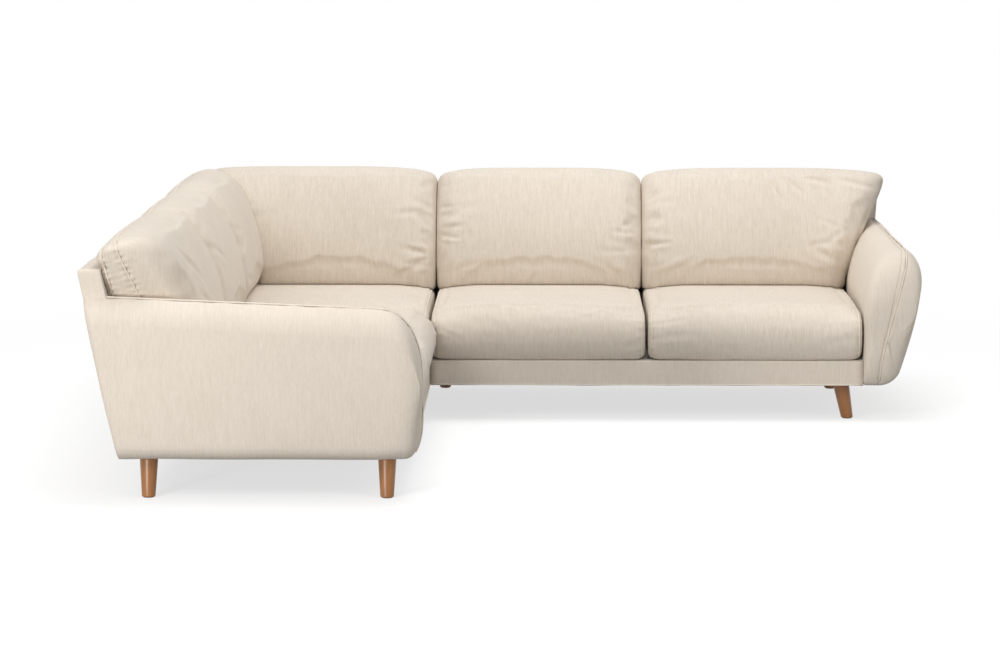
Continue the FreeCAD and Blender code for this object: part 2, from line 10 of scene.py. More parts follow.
import bpy
import bmesh
import numpy as np
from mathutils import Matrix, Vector, noise as field
from mathutils.bvhtree import BVHTree


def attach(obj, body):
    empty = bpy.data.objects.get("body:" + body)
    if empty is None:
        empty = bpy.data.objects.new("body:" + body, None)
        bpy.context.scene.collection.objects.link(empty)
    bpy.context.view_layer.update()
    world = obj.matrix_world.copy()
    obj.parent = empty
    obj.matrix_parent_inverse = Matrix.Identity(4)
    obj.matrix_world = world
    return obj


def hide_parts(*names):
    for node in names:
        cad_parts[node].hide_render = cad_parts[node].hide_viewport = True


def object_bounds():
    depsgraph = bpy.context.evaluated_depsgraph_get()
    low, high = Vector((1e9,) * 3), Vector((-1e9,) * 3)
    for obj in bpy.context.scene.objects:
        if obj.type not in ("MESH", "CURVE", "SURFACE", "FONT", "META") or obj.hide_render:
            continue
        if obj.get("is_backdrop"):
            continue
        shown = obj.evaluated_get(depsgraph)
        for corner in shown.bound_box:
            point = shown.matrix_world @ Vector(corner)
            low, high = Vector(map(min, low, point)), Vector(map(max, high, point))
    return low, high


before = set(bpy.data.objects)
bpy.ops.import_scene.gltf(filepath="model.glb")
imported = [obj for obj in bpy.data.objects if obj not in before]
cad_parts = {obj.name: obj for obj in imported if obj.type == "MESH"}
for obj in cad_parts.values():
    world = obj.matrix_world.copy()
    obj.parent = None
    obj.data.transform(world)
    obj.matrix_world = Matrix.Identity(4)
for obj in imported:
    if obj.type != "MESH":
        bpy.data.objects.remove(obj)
cad_low, cad_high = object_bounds()
scene = bpy.context.scene

# %% [markdown]
# ## Two runs and one set of rules
# The sofa is the same on both sides of its corner. A place on either run is given by three
# numbers: how far along the run, how far out from the foot of the back, and how high. One small
# function turns these into the frame's axes, so the left run is made by the same code as the right.

# %% Places along a run
SIDES = ("right", "left")
CENTRE = 1.264                    # from the corner to the middle of the frame
CORNER = 0.901                    # the square section in the corner
PITCH = 0.767                     # one seat place
ARM_START = CORNER + 2 * PITCH    # the arm's inner face
LEG_TOP = 0.126
BASE_TOP = 0.215                  # where the front border ends and the seats lie
SEAT_TOP = 0.403
BACK_TOP = 0.718
LEAN = 0.116 / 0.592              # how far the back leans away for each metre up
ALONG = {"right": Vector((1, 0, 0)), "left": Vector((0, -1, 0))}    # the way that a run goes
AHEAD = {"right": Vector((0, -1, 0)), "left": Vector((1, 0, 0))}    # the way that its front faces
UP = Vector((0, 0, 1))


def place(side, along, out, up):
    """The frame's own coordinates of a place on a run."""
    if side == "left":
        return Vector((out - CENTRE, CENTRE - along, up))
    return Vector((along - CENTRE, CENTRE - out, up))


def on_run(side, points):
    """Rows of along, out and up for rows of the frame's coordinates."""
    across, deep = points[:, 0] + CENTRE, CENTRE - points[:, 1]
    if side == "left":
        across, deep = deep, across
    return np.stack((across, deep, points[:, 2]), axis=1)


def back_face(up):
    """How far out the leaning outer face of the back is at a height."""
    return -LEAN * (up - LEG_TOP)


print("arm starts", ARM_START, "m along each run")

# %% [markdown]
# ## The camera
# The photograph was taken from well in front with a long lens, a little above seat height. A long
# lens keeps the two runs almost parallel, which is why the near arm doesn't look much bigger than
# the far one. The camera is made from these numbers and has no shift and no blur.

# %% Camera
lens = bpy.data.cameras.new("camera")
lens.lens = 122.76
lens.sensor_width = 36.0
lens.clip_end = 60.0
camera = bpy.data.objects.new("camera", lens)
camera.location = (0.053, -11.598, 1.849)
camera.rotation_euler = (math.radians(82.675), 0.0, math.radians(0.803))
scene.collection.objects.link(camera)
scene.camera = camera
print("camera", lens.lens, "mm")

# %% [markdown]
# ## Helpers for materials
# A material is a small network. These helpers only save typing: one adds a maths step, one a
# stretched noise, and one starts a group with named sockets. A group is built once and used by
# every material that needs it, each with its own values.

# %% Node helpers
def feed(tree, source, socket):
    """Links a socket to an input, or writes a plain value into it."""
    if isinstance(source, (int, float, tuple)):
        socket.default_value = source
    else:
        tree.links.new(source, socket)


def sums(tree, operation, *values):
    """One maths step."""
    node = tree.nodes.new("ShaderNodeMath")
    node.operation = operation
    for socket, value in zip(node.inputs, values):
        feed(tree, value, socket)
    return node.outputs[0]


def noise(tree, vector, stretch, detail=2.0, rough=0.5):
    """Noise whose grain is stretched: cycles per metre along each axis."""
    scaled = tree.nodes.new("ShaderNodeVectorMath")
    scaled.operation = "MULTIPLY"
    tree.links.new(vector, scaled.inputs[0])
    scaled.inputs[1].default_value = stretch
    node = tree.nodes.new("ShaderNodeTexNoise")
    node.inputs["Scale"].default_value = 1.0
    node.inputs["Detail"].default_value = detail
    node.inputs["Roughness"].default_value = rough
    tree.links.new(scaled.outputs[0], node.inputs["Vector"])
    return node.outputs["Fac"]


def blended(tree, mask, first, second):
    """First where the mask is 0 and second where it is 1."""
    node = tree.nodes.new("ShaderNodeMix")
    feed(tree, mask, node.inputs[0])
    feed(tree, first, node.inputs[2])
    feed(tree, second, node.inputs[3])
    return node.outputs[0]


def tinted(tree, mask, first, second):
    """The same for colours."""
    node = tree.nodes.new("ShaderNodeMix")
    node.data_type = "RGBA"
    feed(tree, mask, node.inputs[0])
    feed(tree, first, node.inputs[6])
    feed(tree, second, node.inputs[7])
    return node.outputs[2]


def new_group(label, inputs, outputs):
    """An empty node group with named sockets, and its two ends."""
    group = bpy.data.node_groups.new(label, "ShaderNodeTree")
    kinds = {"value": "NodeSocketFloat", "vector": "NodeSocketVector", "colour": "NodeSocketColor"}
    for name, kind, start in inputs:
        socket = group.interface.new_socket(name=name, in_out="INPUT", socket_type=kinds[kind])
        if start is not None:
            socket.default_value = start
    for name, kind in outputs:
        group.interface.new_socket(name=name, in_out="OUTPUT", socket_type=kinds[kind])
    return group, group.nodes.new("NodeGroupInput").outputs, group.nodes.new("NodeGroupOutput").inputs


print("node helpers ready")

# %% [markdown]
# ## Lamps and room light
# A cut-out product picture is lit softly from all around. Three of the lamps are large and far
# away, as in a studio. The fourth is small and low, and lights the outer side of the near arm. The
# room's own light fills the shadows, and the camera sees the room itself as plain white.

# %% Lamps
# name, place, target, size in metres and power in watts
LAMPS = (("key_lamp", (-4.2, -7.6, 5.4), (0.1, 0.1, 0.4), 4.0, 232.0),
         ("near_lamp", (-2.6, -4.8, 0.55), (-0.9, -1.3, 0.4), 0.8, 74.0),
         ("fill_lamp", (6.0, -6.5, 4.0), (0.0, 0.3, 0.4), 4.5, 115.0),
         ("top_lamp", (0.3, 0.0, 5.6), (0.2, 0.3, 0.0), 4.0, 158.0))
for label, spot, target, size, power in LAMPS:
    data = bpy.data.lights.new(label, "AREA")
    data.shape = "DISK"
    data.size = size
    data.energy = power
    lamp = bpy.data.objects.new(label, data)
    lamp.location = spot
    lamp.rotation_euler = (Vector(target) - Vector(spot)).to_track_quat("-Z", "Y").to_euler()
    scene.collection.objects.link(lamp)
print("lamps:", len(LAMPS))

# %% Room light
ROOM_LIGHT = 0.46


def seen_directly(tree):
    """A mask that is 1 for what the camera sees directly, in gloss or through glass."""
    path = tree.nodes.new("ShaderNodeLightPath")
    seen = path.outputs["Is Camera Ray"]
    for ray in ("Is Glossy Ray", "Is Transmission Ray"):
        seen = sums(tree, "MAXIMUM", seen, path.outputs[ray])
    return seen


world = bpy.data.worlds.new("studio")
scene.world = world
world.use_nodes = True
sky = world.node_tree
strength = sky.nodes.new("ShaderNodeMapRange")
strength.inputs["To Min"].default_value = ROOM_LIGHT
strength.inputs["To Max"].default_value = 1.0
sky.links.new(seen_directly(sky), strength.inputs["Value"])
sky.nodes["Background"].inputs["Color"].default_value = (1.0, 1.0, 1.0, 1.0)
sky.links.new(strength.outputs["Result"], sky.nodes["Background"].inputs["Strength"])
scene.view_settings.view_transform = "Standard"
print("room light", ROOM_LIGHT)

# %% [markdown]
# ## The floor
# The picture has a white ground with one soft shadow. The shadow has to be real, so the floor is
# an ordinary matt surface. What the camera sees of it gets a little light of its own, which lifts
# the open floor to white and leaves the shadow. Further away it fades into a plain white ground.

# %% Floor
FLOOR_REACH = 30.0
GREY = (0.38, 0.38, 0.38, 1.0)    # the floor's own colour around the sofa
BLACK = (0.0, 0.0, 0.0, 1.0)      # and far away, where its glow alone makes it white
GLOW = 0.68                       # the light of its own around the sofa
FADE_FROM, FADE_TO = 2.4, 4.6     # metres from the middle

floor_mesh = bpy.data.meshes.new("floor")
corners = [(x * FLOOR_REACH, y * FLOOR_REACH, 0) for x, y in ((-1, -1), (1, -1), (1, 1), (-1, 1))]
floor_mesh.from_pydata(corners, [], [(0, 1, 2, 3)])
floor = bpy.data.objects.new("floor", floor_mesh)
scene.collection.objects.link(floor)
floor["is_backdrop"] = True
ground = bpy.data.materials.new("pale_floor")
ground.use_nodes = True
tree = ground.node_tree
tree.nodes.clear()
away = tree.nodes.new("ShaderNodeVectorMath")
away.operation = "LENGTH"
tree.links.new(tree.nodes.new("ShaderNodeNewGeometry").outputs["Position"], away.inputs[0])
far = tree.nodes.new("ShaderNodeMapRange")
far.interpolation_type = "SMOOTHSTEP"
far.inputs["From Min"].default_value = FADE_FROM
far.inputs["From Max"].default_value = FADE_TO
tree.links.new(away.outputs["Value"], far.inputs["Value"])
matt = tree.nodes.new("ShaderNodeBsdfDiffuse")
tree.links.new(tinted(tree, far.outputs["Result"], GREY, BLACK), matt.inputs["Color"])
glow = tree.nodes.new("ShaderNodeMapRange")
glow.inputs["To Min"].default_value = GLOW
glow.inputs["To Max"].default_value = 1.0
tree.links.new(far.outputs["Result"], glow.inputs["Value"])
lift = tree.nodes.new("ShaderNodeEmission")
lift_strength = sums(tree, "MULTIPLY", seen_directly(tree), glow.outputs["Result"])
tree.links.new(lift_strength, lift.inputs["Strength"])
both = tree.nodes.new("ShaderNodeAddShader")
tree.links.new(matt.outputs[0], both.inputs[0])
tree.links.new(lift.outputs[0], both.inputs[1])
ground_end = tree.nodes.new("ShaderNodeOutputMaterial")
tree.links.new(both.outputs[0], ground_end.inputs["Surface"])
floor_mesh.materials.append(ground)
print("floor: white from", FADE_TO, "m on")

# %% [markdown]
# ## The weave
# The cover is a plain flat weave with a fine upright slub: most threads are even, and some swell
# and make a short darker or lighter streak. Close up it is a grid of threads, and from a few
# metres it is a soft upright rib. A photograph of cloth would have to be laid out on each piece.
# Noise that is stretched along the thread gives the same streaks anywhere, so the weave is three
# such noises: fine threads, slubs and short picks across them. The threads have to run upright on
# every face, so the group looks at the direction of the surface and picks the axis that lies
# across the threads. "Turned" says which way they run on surfaces that face up.

# %% Weave group
weave, given, result = new_group(
    "woven_cloth",
    (("Place", "vector", None), ("Facing", "vector", None), ("Turned", "value", 0.0),
     ("Thread", "value", 1.0), ("Slub", "value", 1.0),
     ("Light", "colour", (0.8, 0.7, 0.6, 1.0)), ("Shade", "colour", (0.6, 0.5, 0.4, 1.0))),
    (("Colour", "colour"), ("Height", "value"), ("Roughness", "value")))
direction = weave.nodes.new("ShaderNodeSeparateXYZ")
weave.links.new(given["Facing"], direction.inputs[0])
sideways, forward, upward = (
    sums(weave, "POWER", sums(weave, "ABSOLUTE", direction.outputs[axis]), 4.0) for axis in range(3))
turned_up = sums(weave, "MULTIPLY", upward, given["Turned"])
along_y = sums(weave, "ADD", sideways, turned_up)
whole = sums(weave, "ADD", sums(weave, "ADD", sideways, forward), upward)
run_mask = sums(weave, "DIVIDE", along_y, whole)


def upright(detail, across, along):
    """A noise with its grain upright, whichever way the surface faces."""
    in_x = noise(weave, given["Place"], (across, along, along), detail)
    in_y = noise(weave, given["Place"], (along, across, along), detail)
    return blended(weave, run_mask, in_x, in_y)


def swing(source, share):
    """A noise that swings around 0 instead of a half, by a share of its strength."""
    return sums(weave, "MULTIPLY", sums(weave, "SUBTRACT", source, 0.5), share)


# cycles per metre, across the thread and along it
thread_part = swing(upright(1.0, 480.0, 60.0), given["Thread"])
slub_part = swing(upright(2.0, 170.0, 17.0), given["Slub"])
pick_part = swing(noise(weave, given["Place"], (900.0, 900.0, 900.0), 1.0), 0.5)
soft_part = swing(noise(weave, given["Place"], (5.0, 5.0, 5.0), 2.0), 0.35)
tone = sums(weave, "MULTIPLY", thread_part, 0.95)
for part, share in ((slub_part, 1.05), (pick_part, 0.8), (soft_part, 1.0)):
    tone = sums(weave, "ADD", tone, sums(weave, "MULTIPLY", part, share))
mask = sums(weave, "ADD", tone, 0.5)
mask.node.use_clamp = True
weave.links.new(tinted(weave, mask, given["Shade"], given["Light"]), result["Colour"])
crossing = sums(weave, "ADD", pick_part, sums(weave, "MULTIPLY", slub_part, 0.8))
height = sums(weave, "ADD", thread_part, crossing)
weave.links.new(sums(weave, "ADD", height, 0.5), result["Height"])
polish = sums(weave, "MULTIPLY", mask, 0.12)
weave.links.new(sums(weave, "SUBTRACT", 0.98, polish), result["Roughness"])
print("weave group:", len(weave.nodes), "nodes")

# %% [markdown]
# ## Use, and painted light on top
# Even a new sofa isn't one even colour. Cloth that is sat on is brushed a little paler in broad
# patches. The patches are made stronger on what faces up, which is painted light: the tops come
# out paler, as if lit from above. One group gives a mask for both, and the materials use as much
# of it as suits them.

# %% Use group, with painted top light
use_and_top_light, given_use_and_top_light, result_use_and_top_light = new_group(
    "soft_use_and_top_light",
    (("Place", "vector", None), ("Facing", "vector", None), ("Amount", "value", 0.5),
     ("Colour", "colour", (0.8, 0.8, 0.8, 1.0)), ("Brushed and lit", "colour", (0.9, 0.9, 0.9, 1.0))),
    (("Colour", "colour"), ("Mask", "value")))
patches = noise(use_and_top_light, given_use_and_top_light["Place"], (3.1, 3.1, 3.1), 3.0, 0.6)
level = use_and_top_light.nodes.new("ShaderNodeSeparateXYZ")
use_and_top_light.links.new(given_use_and_top_light["Facing"], level.inputs[0])
# painted light: what faces up gets more of the paler colour, as if lit from above
facing_up = sums(use_and_top_light, "MAXIMUM", level.outputs[2], 0.0)
worn_and_lit_mask = sums(use_and_top_light, "MULTIPLY", sums(use_and_top_light, "ADD", facing_up, 0.35), patches)
worn_and_lit_mask = sums(use_and_top_light, "MULTIPLY", worn_and_lit_mask, given_use_and_top_light["Amount"])
worn_and_lit_mask.node.use_clamp = True
use_and_top_light.links.new(tinted(use_and_top_light, worn_and_lit_mask, given_use_and_top_light["Colour"], given_use_and_top_light["Brushed and lit"]), result_use_and_top_light["Colour"])
use_and_top_light.links.new(worn_and_lit_mask, result_use_and_top_light["Mask"])
print("use group:", len(use_and_top_light.nodes), "nodes")

# %% [markdown]
# ## Wood grain
# The legs are turned oak with a warm satin finish, and the hidden timber is plain softwood. Both
# are long stretched noise: broad rings that wander, and fine pores that run with the grain.

# %% Grain group
grain, given_wood, result_wood = new_group(
    "wood_grain",
    (("Place", "vector", None), ("Ring", "value", 1.0),
     ("Pale", "colour", (0.5, 0.3, 0.1, 1.0)), ("Dark", "colour", (0.3, 0.2, 0.1, 1.0))),
    (("Colour", "colour"), ("Height", "value"), ("Roughness", "value")))
broad = noise(grain, given_wood["Place"], (22.0, 22.0, 2.6), 3.0, 0.55)
rings = sums(grain, "FRACT", sums(grain, "MULTIPLY", broad, given_wood["Ring"]))
rings = sums(grain, "ABSOLUTE", sums(grain, "SUBTRACT", sums(grain, "MULTIPLY", rings, 2.0), 1.0))
pores = noise(grain, given_wood["Place"], (420.0, 420.0, 22.0), 2.0)
ring_part, pore_part = (sums(grain, "MULTIPLY", part, 0.55) for part in (rings, pores))
wood_mask = sums(grain, "ADD", ring_part, pore_part)
wood_mask.node.use_clamp = True
grain.links.new(tinted(grain, wood_mask, given_wood["Dark"], given_wood["Pale"]), result_wood["Colour"])
grain.links.new(pores, result_wood["Height"])
grain.links.new(sums(grain, "ADD", sums(grain, "MULTIPLY", pores, 0.2), 0.3), result_wood["Roughness"])
print("grain group:", len(grain.nodes), "nodes")

# %% [markdown]
# ## The finishes
# The woven cover comes twice: on the cushions, and a little calmer on the parts that are
# stretched over boards. Its cloth runs upright, so each has a straight and a turned version for
# surfaces that face up on the two runs. Beside it there are the piping, whose cloth is painted
# paler as a highlight, the thread of the topstitch, the plain lining, the webbing, the black dust
# cover, the felt, the softwood and the oak.

# %% Parts of a material
def start_material(label):
    """A material with its shader, and the coordinates that move with the piece."""
    material = bpy.data.materials.new(label)
    material.use_nodes = True
    tree = material.node_tree
    coordinates = tree.nodes.new("ShaderNodeTexCoord").outputs
    return material, tree, tree.nodes["Principled BSDF"], coordinates


def grouped(tree, group, values):
    """A node that runs a group with its plain values."""
    node = tree.nodes.new("ShaderNodeGroup")
    node.node_tree = group
    for name, value in values.items():
        node.inputs[name].default_value = value + (1.0,) if isinstance(value, tuple) else value
    return node


def bumped(tree, shader, height, strength, depth):
    """Gives a shader small bumps from a height."""
    bump = tree.nodes.new("ShaderNodeBump")
    bump.inputs["Strength"].default_value = strength
    bump.inputs["Distance"].default_value = depth
    tree.links.new(height, bump.inputs["Height"])
    tree.links.new(bump.outputs["Normal"], shader.inputs["Normal"])


print("parts of a material ready")


# %% Cloth finishes
def cloth(label, light, shade, brushed_and_lit, turned=0.0, thread=1.0, slub=1.0):
    """Woven cloth: the weave, paler patches with painted top light, and a bump from the same threads.
    """
    material, tree, shader, coordinates = start_material(label)
    woven = grouped(tree, weave, {"Turned": turned, "Thread": thread, "Slub": slub,
                                  "Light": light, "Shade": shade})
    used_and_lit = grouped(tree, use_and_top_light, {"Amount": 0.4, "Brushed and lit": brushed_and_lit})
    for node in (woven, used_and_lit):
        tree.links.new(coordinates["Object"], node.inputs["Place"])
        tree.links.new(coordinates["Normal"], node.inputs["Facing"])
    tree.links.new(woven.outputs["Colour"], used_and_lit.inputs["Colour"])
    tree.links.new(used_and_lit.outputs["Colour"], shader.inputs["Base Color"])
    tree.links.new(woven.outputs["Roughness"], shader.inputs["Roughness"])
    bumped(tree, shader, woven.outputs["Height"], 0.55, 0.0007)
    shader.inputs["Sheen Weight"].default_value = 0.12
    shader.inputs["Sheen Roughness"].default_value = 0.6
    shader.inputs["Specular IOR Level"].default_value = 0.2
    return material


CREAM = (0.770, 0.690, 0.595)
CREAM_SHADE = (0.600, 0.525, 0.435)
# the paler colour of worn patches, which also paints light on what faces up
CREAM_BRUSHED_AND_LIT = (0.810, 0.735, 0.640)
cushion_cloth = {side: cloth("cushion_cloth_" + side, CREAM, CREAM_SHADE, CREAM_BRUSHED_AND_LIT, turned)
                 for side, turned in (("right", 0.0), ("left", 1.0))}
cover_cloth = {side: cloth("cover_cloth_" + side, CREAM, CREAM_SHADE, CREAM_BRUSHED_AND_LIT, turned,
                           thread=0.8, slub=0.65)
               for side, turned in (("right", 1.0), ("left", 0.0))}
# the piping is the cover's cloth painted paler: a painted highlight along every cord
piping_cloth_painted_highlight = cloth("piping_cloth_painted_highlight", (0.83, 0.75, 0.65), (0.70, 0.62, 0.52), CREAM_BRUSHED_AND_LIT, slub=0.4)
stitch_thread = cloth("stitch_thread", (0.56, 0.48, 0.39), (0.44, 0.37, 0.30),
                      (0.60, 0.52, 0.43), slub=0.3)
lining = cloth("lining_cloth", (0.78, 0.74, 0.67), (0.66, 0.61, 0.54), (0.84, 0.80, 0.74), slub=0.3)
webbing = cloth("webbing_cloth", (0.20, 0.18, 0.165), (0.075, 0.068, 0.062),
                (0.25, 0.23, 0.21), thread=1.6)
dust_cloth = cloth("dust_cloth", (0.018, 0.018, 0.019), (0.007, 0.007, 0.008),
                   (0.03, 0.03, 0.03), slub=0.3)
felt = cloth("felt_pad", (0.16, 0.15, 0.14), (0.09, 0.085, 0.08), (0.2, 0.19, 0.18),
             thread=0.4, slub=0.4)
print("cloth finishes ready")


# %% Wood finishes
def wood(label, pale, dark, rings, coat):
    """Wood with its grain, and a satin coat where it is lacquered."""
    material, tree, shader, coordinates = start_material(label)
    grained = grouped(tree, grain, {"Ring": rings, "Pale": pale, "Dark": dark})
    tree.links.new(coordinates["Object"], grained.inputs["Place"])
    tree.links.new(grained.outputs["Colour"], shader.inputs["Base Color"])
    tree.links.new(grained.outputs["Roughness"], shader.inputs["Roughness"])
    bumped(tree, shader, grained.outputs["Height"], 0.25, 0.0004)
    shader.inputs["Coat Weight"].default_value = coat
    shader.inputs["Coat Roughness"].default_value = 0.28
    return material


oak = wood("lacquered_oak", (0.400, 0.168, 0.043), (0.245, 0.088, 0.020), 3.0, 0.22)
timber = wood("softwood", (0.66, 0.47, 0.28), (0.50, 0.32, 0.16), 5.0, 0.0)
print("wood finishes ready")

# %% [markdown]
# ## Helpers for meshes
# Three kinds of piece make up this sofa: stuffed cushions, padded parts stretched over a board,
# and thin tubes such as piping. All of them work with rows of numbers and hand the result to
# Blender once, which is quick and easy to repeat. What is swept, lofted or turned is made of rings
# of points with faces between them.

# %% Pieces and their points
def new_piece(label, points, faces, material):
    """An object from rows of points and faces."""
    mesh = bpy.data.meshes.new(label)
    mesh.from_pydata([tuple(p) for p in points], [], [tuple(f) for f in faces])
    mesh.materials.append(material)
    mesh.polygons.foreach_set("use_smooth", [True] * len(mesh.polygons))
    piece = bpy.data.objects.new(label, mesh)
    scene.collection.objects.link(piece)
    return piece


def rows_of(piece, kind):
    """Three numbers for each point of a piece, as rows."""
    rows = np.zeros(len(piece.data.vertices) * 3, np.float32)
    piece.data.vertices.foreach_get(kind, rows)
    return rows.reshape(-1, 3).astype(float)


def points_of(piece):
    """Where the points are."""
    return rows_of(piece, "co")


def normals_of(piece):
    """The direction of the surface at each point."""
    return rows_of(piece, "normal")


def set_points(piece, rows):
    """Moves the piece's points."""
    piece.data.vertices.foreach_set("co", rows.astype(np.float32).ravel())
    piece.data.update()


def smooth(share):
    """0 to 1 with a soft start and end."""
    share = np.clip(share, 0.0, 1.0)
    return share * share * (3.0 - 2.0 * share)


def ramp(value, start, reach):
    """0 up to a start and 1 from a reach beyond it, with a soft change between."""
    return smooth((value - start) / reach)


print("a ramp is", ramp(0.5, 0.0, 1.0), "half way")

# %% Softer and finer surfaces
def relax(piece, rounds, share=0.5):
    """Draws each point towards the middle of its neighbours."""
    rows = points_of(piece)
    edges = np.zeros(len(piece.data.edges) * 2, np.int32)
    piece.data.edges.foreach_get("vertices", edges)
    one, two = edges.reshape(-1, 2).T
    count = np.bincount(np.concatenate((one, two)), minlength=len(rows))[:, None]
    for _ in range(rounds):
        total = np.zeros_like(rows)
        for axis in range(3):
            total[:, axis] = (np.bincount(one, rows[two, axis], len(rows))
                              + np.bincount(two, rows[one, axis], len(rows)))
        rows += (total / np.maximum(count, 1) - rows) * share
    set_points(piece, rows)


def settled(piece):
    """Replaces the piece's mesh by what its modifiers make of it, and removes them."""
    graph = bpy.context.evaluated_depsgraph_get()
    mesh = bpy.data.meshes.new_from_object(piece.evaluated_get(graph))
    piece.modifiers.clear()
    piece.data = mesh


def refined(piece):
    """Divides every face in four and rounds the result."""
    finer = piece.modifiers.new("finer", "SUBSURF")
    finer.levels = finer.render_levels = 1
    settled(piece)


def facing_out(piece):
    """Turns all faces of a closed piece outwards."""
    work = bmesh.new()
    work.from_mesh(piece.data)
    bmesh.ops.recalc_face_normals(work, faces=work.faces)
    work.to_mesh(piece.data)
    work.free()
    return piece


def skin_of(piece):
    """A search tree of the piece's surface."""
    return BVHTree.FromObject(piece, bpy.context.evaluated_depsgraph_get())


print("surface helpers ready")

# %% Rings, tubes and fixed pieces
def turns(steps):
    """Even angles once round."""
    return [2 * math.pi * step / steps for step in range(steps)]


def ring_faces(rings, count, closed=False):
    """Faces between rings of equal length that follow each other."""
    faces = []
    for ring in range(rings if closed else rings - 1):
        here, ahead = ring * count, (ring + 1) % rings * count
        for step in range(count):
            beside = (step + 1) % count
            faces.append((here + step, here + beside, ahead + beside, ahead + step))
    return faces


def end_faces(rings, count):
    """One face over the first ring and one over the last."""
    return [tuple(reversed(range(count))), tuple(range((rings - 1) * count, rings * count))]


def tube(label, line, radius, material, closed=True, sides=8):
    """A round cord that follows a line of points."""
    line = [Vector(p) for p in line]
    count = len(line)
    points = []
    across = Vector((0.13, 0.21, 0.97))
    for number, spot in enumerate(line):
        before = line[number - 1] if closed or number else spot
        after = line[(number + 1) % count] if closed or number < count - 1 else spot
        heading = (after - before).normalized()
        across = (across - heading * across.dot(heading)).normalized()
        other = heading.cross(across)
        points += [spot + (across * math.cos(turn) + other * math.sin(turn)) * radius
                   for turn in turns(sides)]
    faces = ring_faces(count, sides, closed) + ([] if closed else end_faces(count, sides))
    return new_piece(label, points, faces, material)


def fixed(piece, stands_for=None):
    """Puts a piece on the fixed body, and hides the node that it stands for."""
    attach(piece, "frame")
    if stands_for:
        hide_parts(stands_for)


print("a square tube of three rings has", len(ring_faces(3, 4) + end_faces(3, 4)), "faces")

# %% [markdown]
# ## Stuffing the cushions
# A cushion is a sewn cloth case around foam and fibre. The filling pushes the cloth out until it
# is tight in the middle, and the cloth that is left over gathers along the seams. Modelling these
# gathers by hand rarely looks right, so each case is filled the way the real one is: its shape
# from the frame is copied, given an even mesh, made a little smaller and blown up as cloth with a
# pressure inside. A little spare cloth gives the wrinkles. Afterwards each point is held to the
# space that the cushion has, so it never grows into its neighbours.

# %% Fill the cases
CUSHIONS = {
    "corner_seat_cushion": ("right", "seat"),
    "right_inner_seat_cushion": ("right", "seat"), "right_outer_seat_cushion": ("right", "seat"),
    "left_inner_seat_cushion": ("left", "seat"), "left_outer_seat_cushion": ("left", "seat"),
    "right_corner_back_cushion": ("right", "back"), "right_inner_back_cushion": ("right", "back"),
    "right_outer_back_cushion": ("right", "back"), "left_corner_back_cushion": ("left", "back"),
    "left_inner_back_cushion": ("left", "back"), "left_outer_back_cushion": ("left", "back"),
}
VOXEL = 0.0105                    # how fine the even mesh is
SHRINK, RIPPLE = 0.002, 0.0008    # how the case starts: smaller, and not quite even
# stiffness against bending, pressure of the filling, and spare cloth (below 0)
FILLING = {"seat": (1.2, 4.0, -0.012), "back": (0.7, 3.4, -0.022)}
chance = np.random.default_rng(11)


def case_of(node, label):
    """An evenly meshed copy of a node, and a search tree of the node's own surface."""
    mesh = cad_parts[node].data.copy()
    work = bmesh.new()
    work.from_mesh(mesh)
    bmesh.ops.remove_doubles(work, verts=work.verts, dist=1e-5)
    tree = BVHTree.FromBMesh(work)
    work.to_mesh(mesh)
    work.free()
    case = bpy.data.objects.new(label, mesh)
    scene.collection.objects.link(case)
    even = case.modifiers.new("even", "REMESH")
    even.mode = "VOXEL"
    even.voxel_size = VOXEL
    settled(case)
    return case, tree


def fill(case, kind):
    """Makes a case cloth that is blown up by a pressure inside."""
    stuff = case.modifiers.new("filling", "CLOTH").settings
    stuff.quality = 4
    stuff.mass = 0.35
    stuff.tension_stiffness = stuff.compression_stiffness = 12.0
    stuff.shear_stiffness = 4.0
    stuff.use_pressure = True
    stuff.bending_stiffness, stuff.uniform_pressure_force, stuff.shrink_min = FILLING[kind]
    stuff.effector_weights.gravity = 0.0


cases = {}
for node, (side, kind) in CUSHIONS.items():
    case, surface = case_of(node, node.replace("_cushion", "_stuffed"))
    relax(case, 1 if kind == "seat" else 2)
    rows = points_of(case)
    start = rows - normals_of(case) * SHRINK
    ripple = chance.normal(0.0, RIPPLE, len(rows))[:, None] * normals_of(case)
    set_points(case, start + ripple)
    cases[node] = (case, surface, side, kind, (start, normals_of(case)))
    fill(case, kind)
print("cases:", len(cases), "with", sum(len(c[0].data.vertices) for c in cases.values()), "points")

# %% The room of a cushion
SIDE_ROOM = 0.0011     # how far cloth may stand past the frame's surface at the sides
OPEN_ROOM = 0.0039     # and how much more in front and on top
CROWN_ROOM = 0.003     # and more again on a back cushion's top
BELOW_ROOM, REAR_ROOM = -0.0003, -0.0004    # where it rests on something


def room_for(side, kind):
    """How far a cushion's cloth may stand past the frame's surface, by where it faces."""
    def room(facing):
        ahead, upward = facing.dot(AHEAD[side]), facing.z
        span = SIDE_ROOM + OPEN_ROOM * max(ramp(ahead, 0.1, 0.45), ramp(upward, 0.1, 0.45))
        if kind == "back":
            span += CROWN_ROOM * ramp(upward, 0.1, 0.7)
        span += (BELOW_ROOM - span) * ramp(-upward, 0.35, 0.35)
        span += (REAR_ROOM - span) * ramp(-ahead, 0.35, 0.3)
        return float(span)
    return room


def held_to(piece, tree, room_of):
    """Draws points back that stand further from the frame's surface than their room."""
    rows = points_of(piece)
    for index, row in enumerate(rows):
        spot, facing, _, _ = tree.find_nearest(Vector(row))
        away = (Vector(row) - spot).dot(facing)
        room = room_of(facing)
        if away > room:
            rows[index] = spot + facing * room
    set_points(piece, rows)


print("room above a seat:", round(1000 * room_for("right", "seat")(UP), 1), "mm")

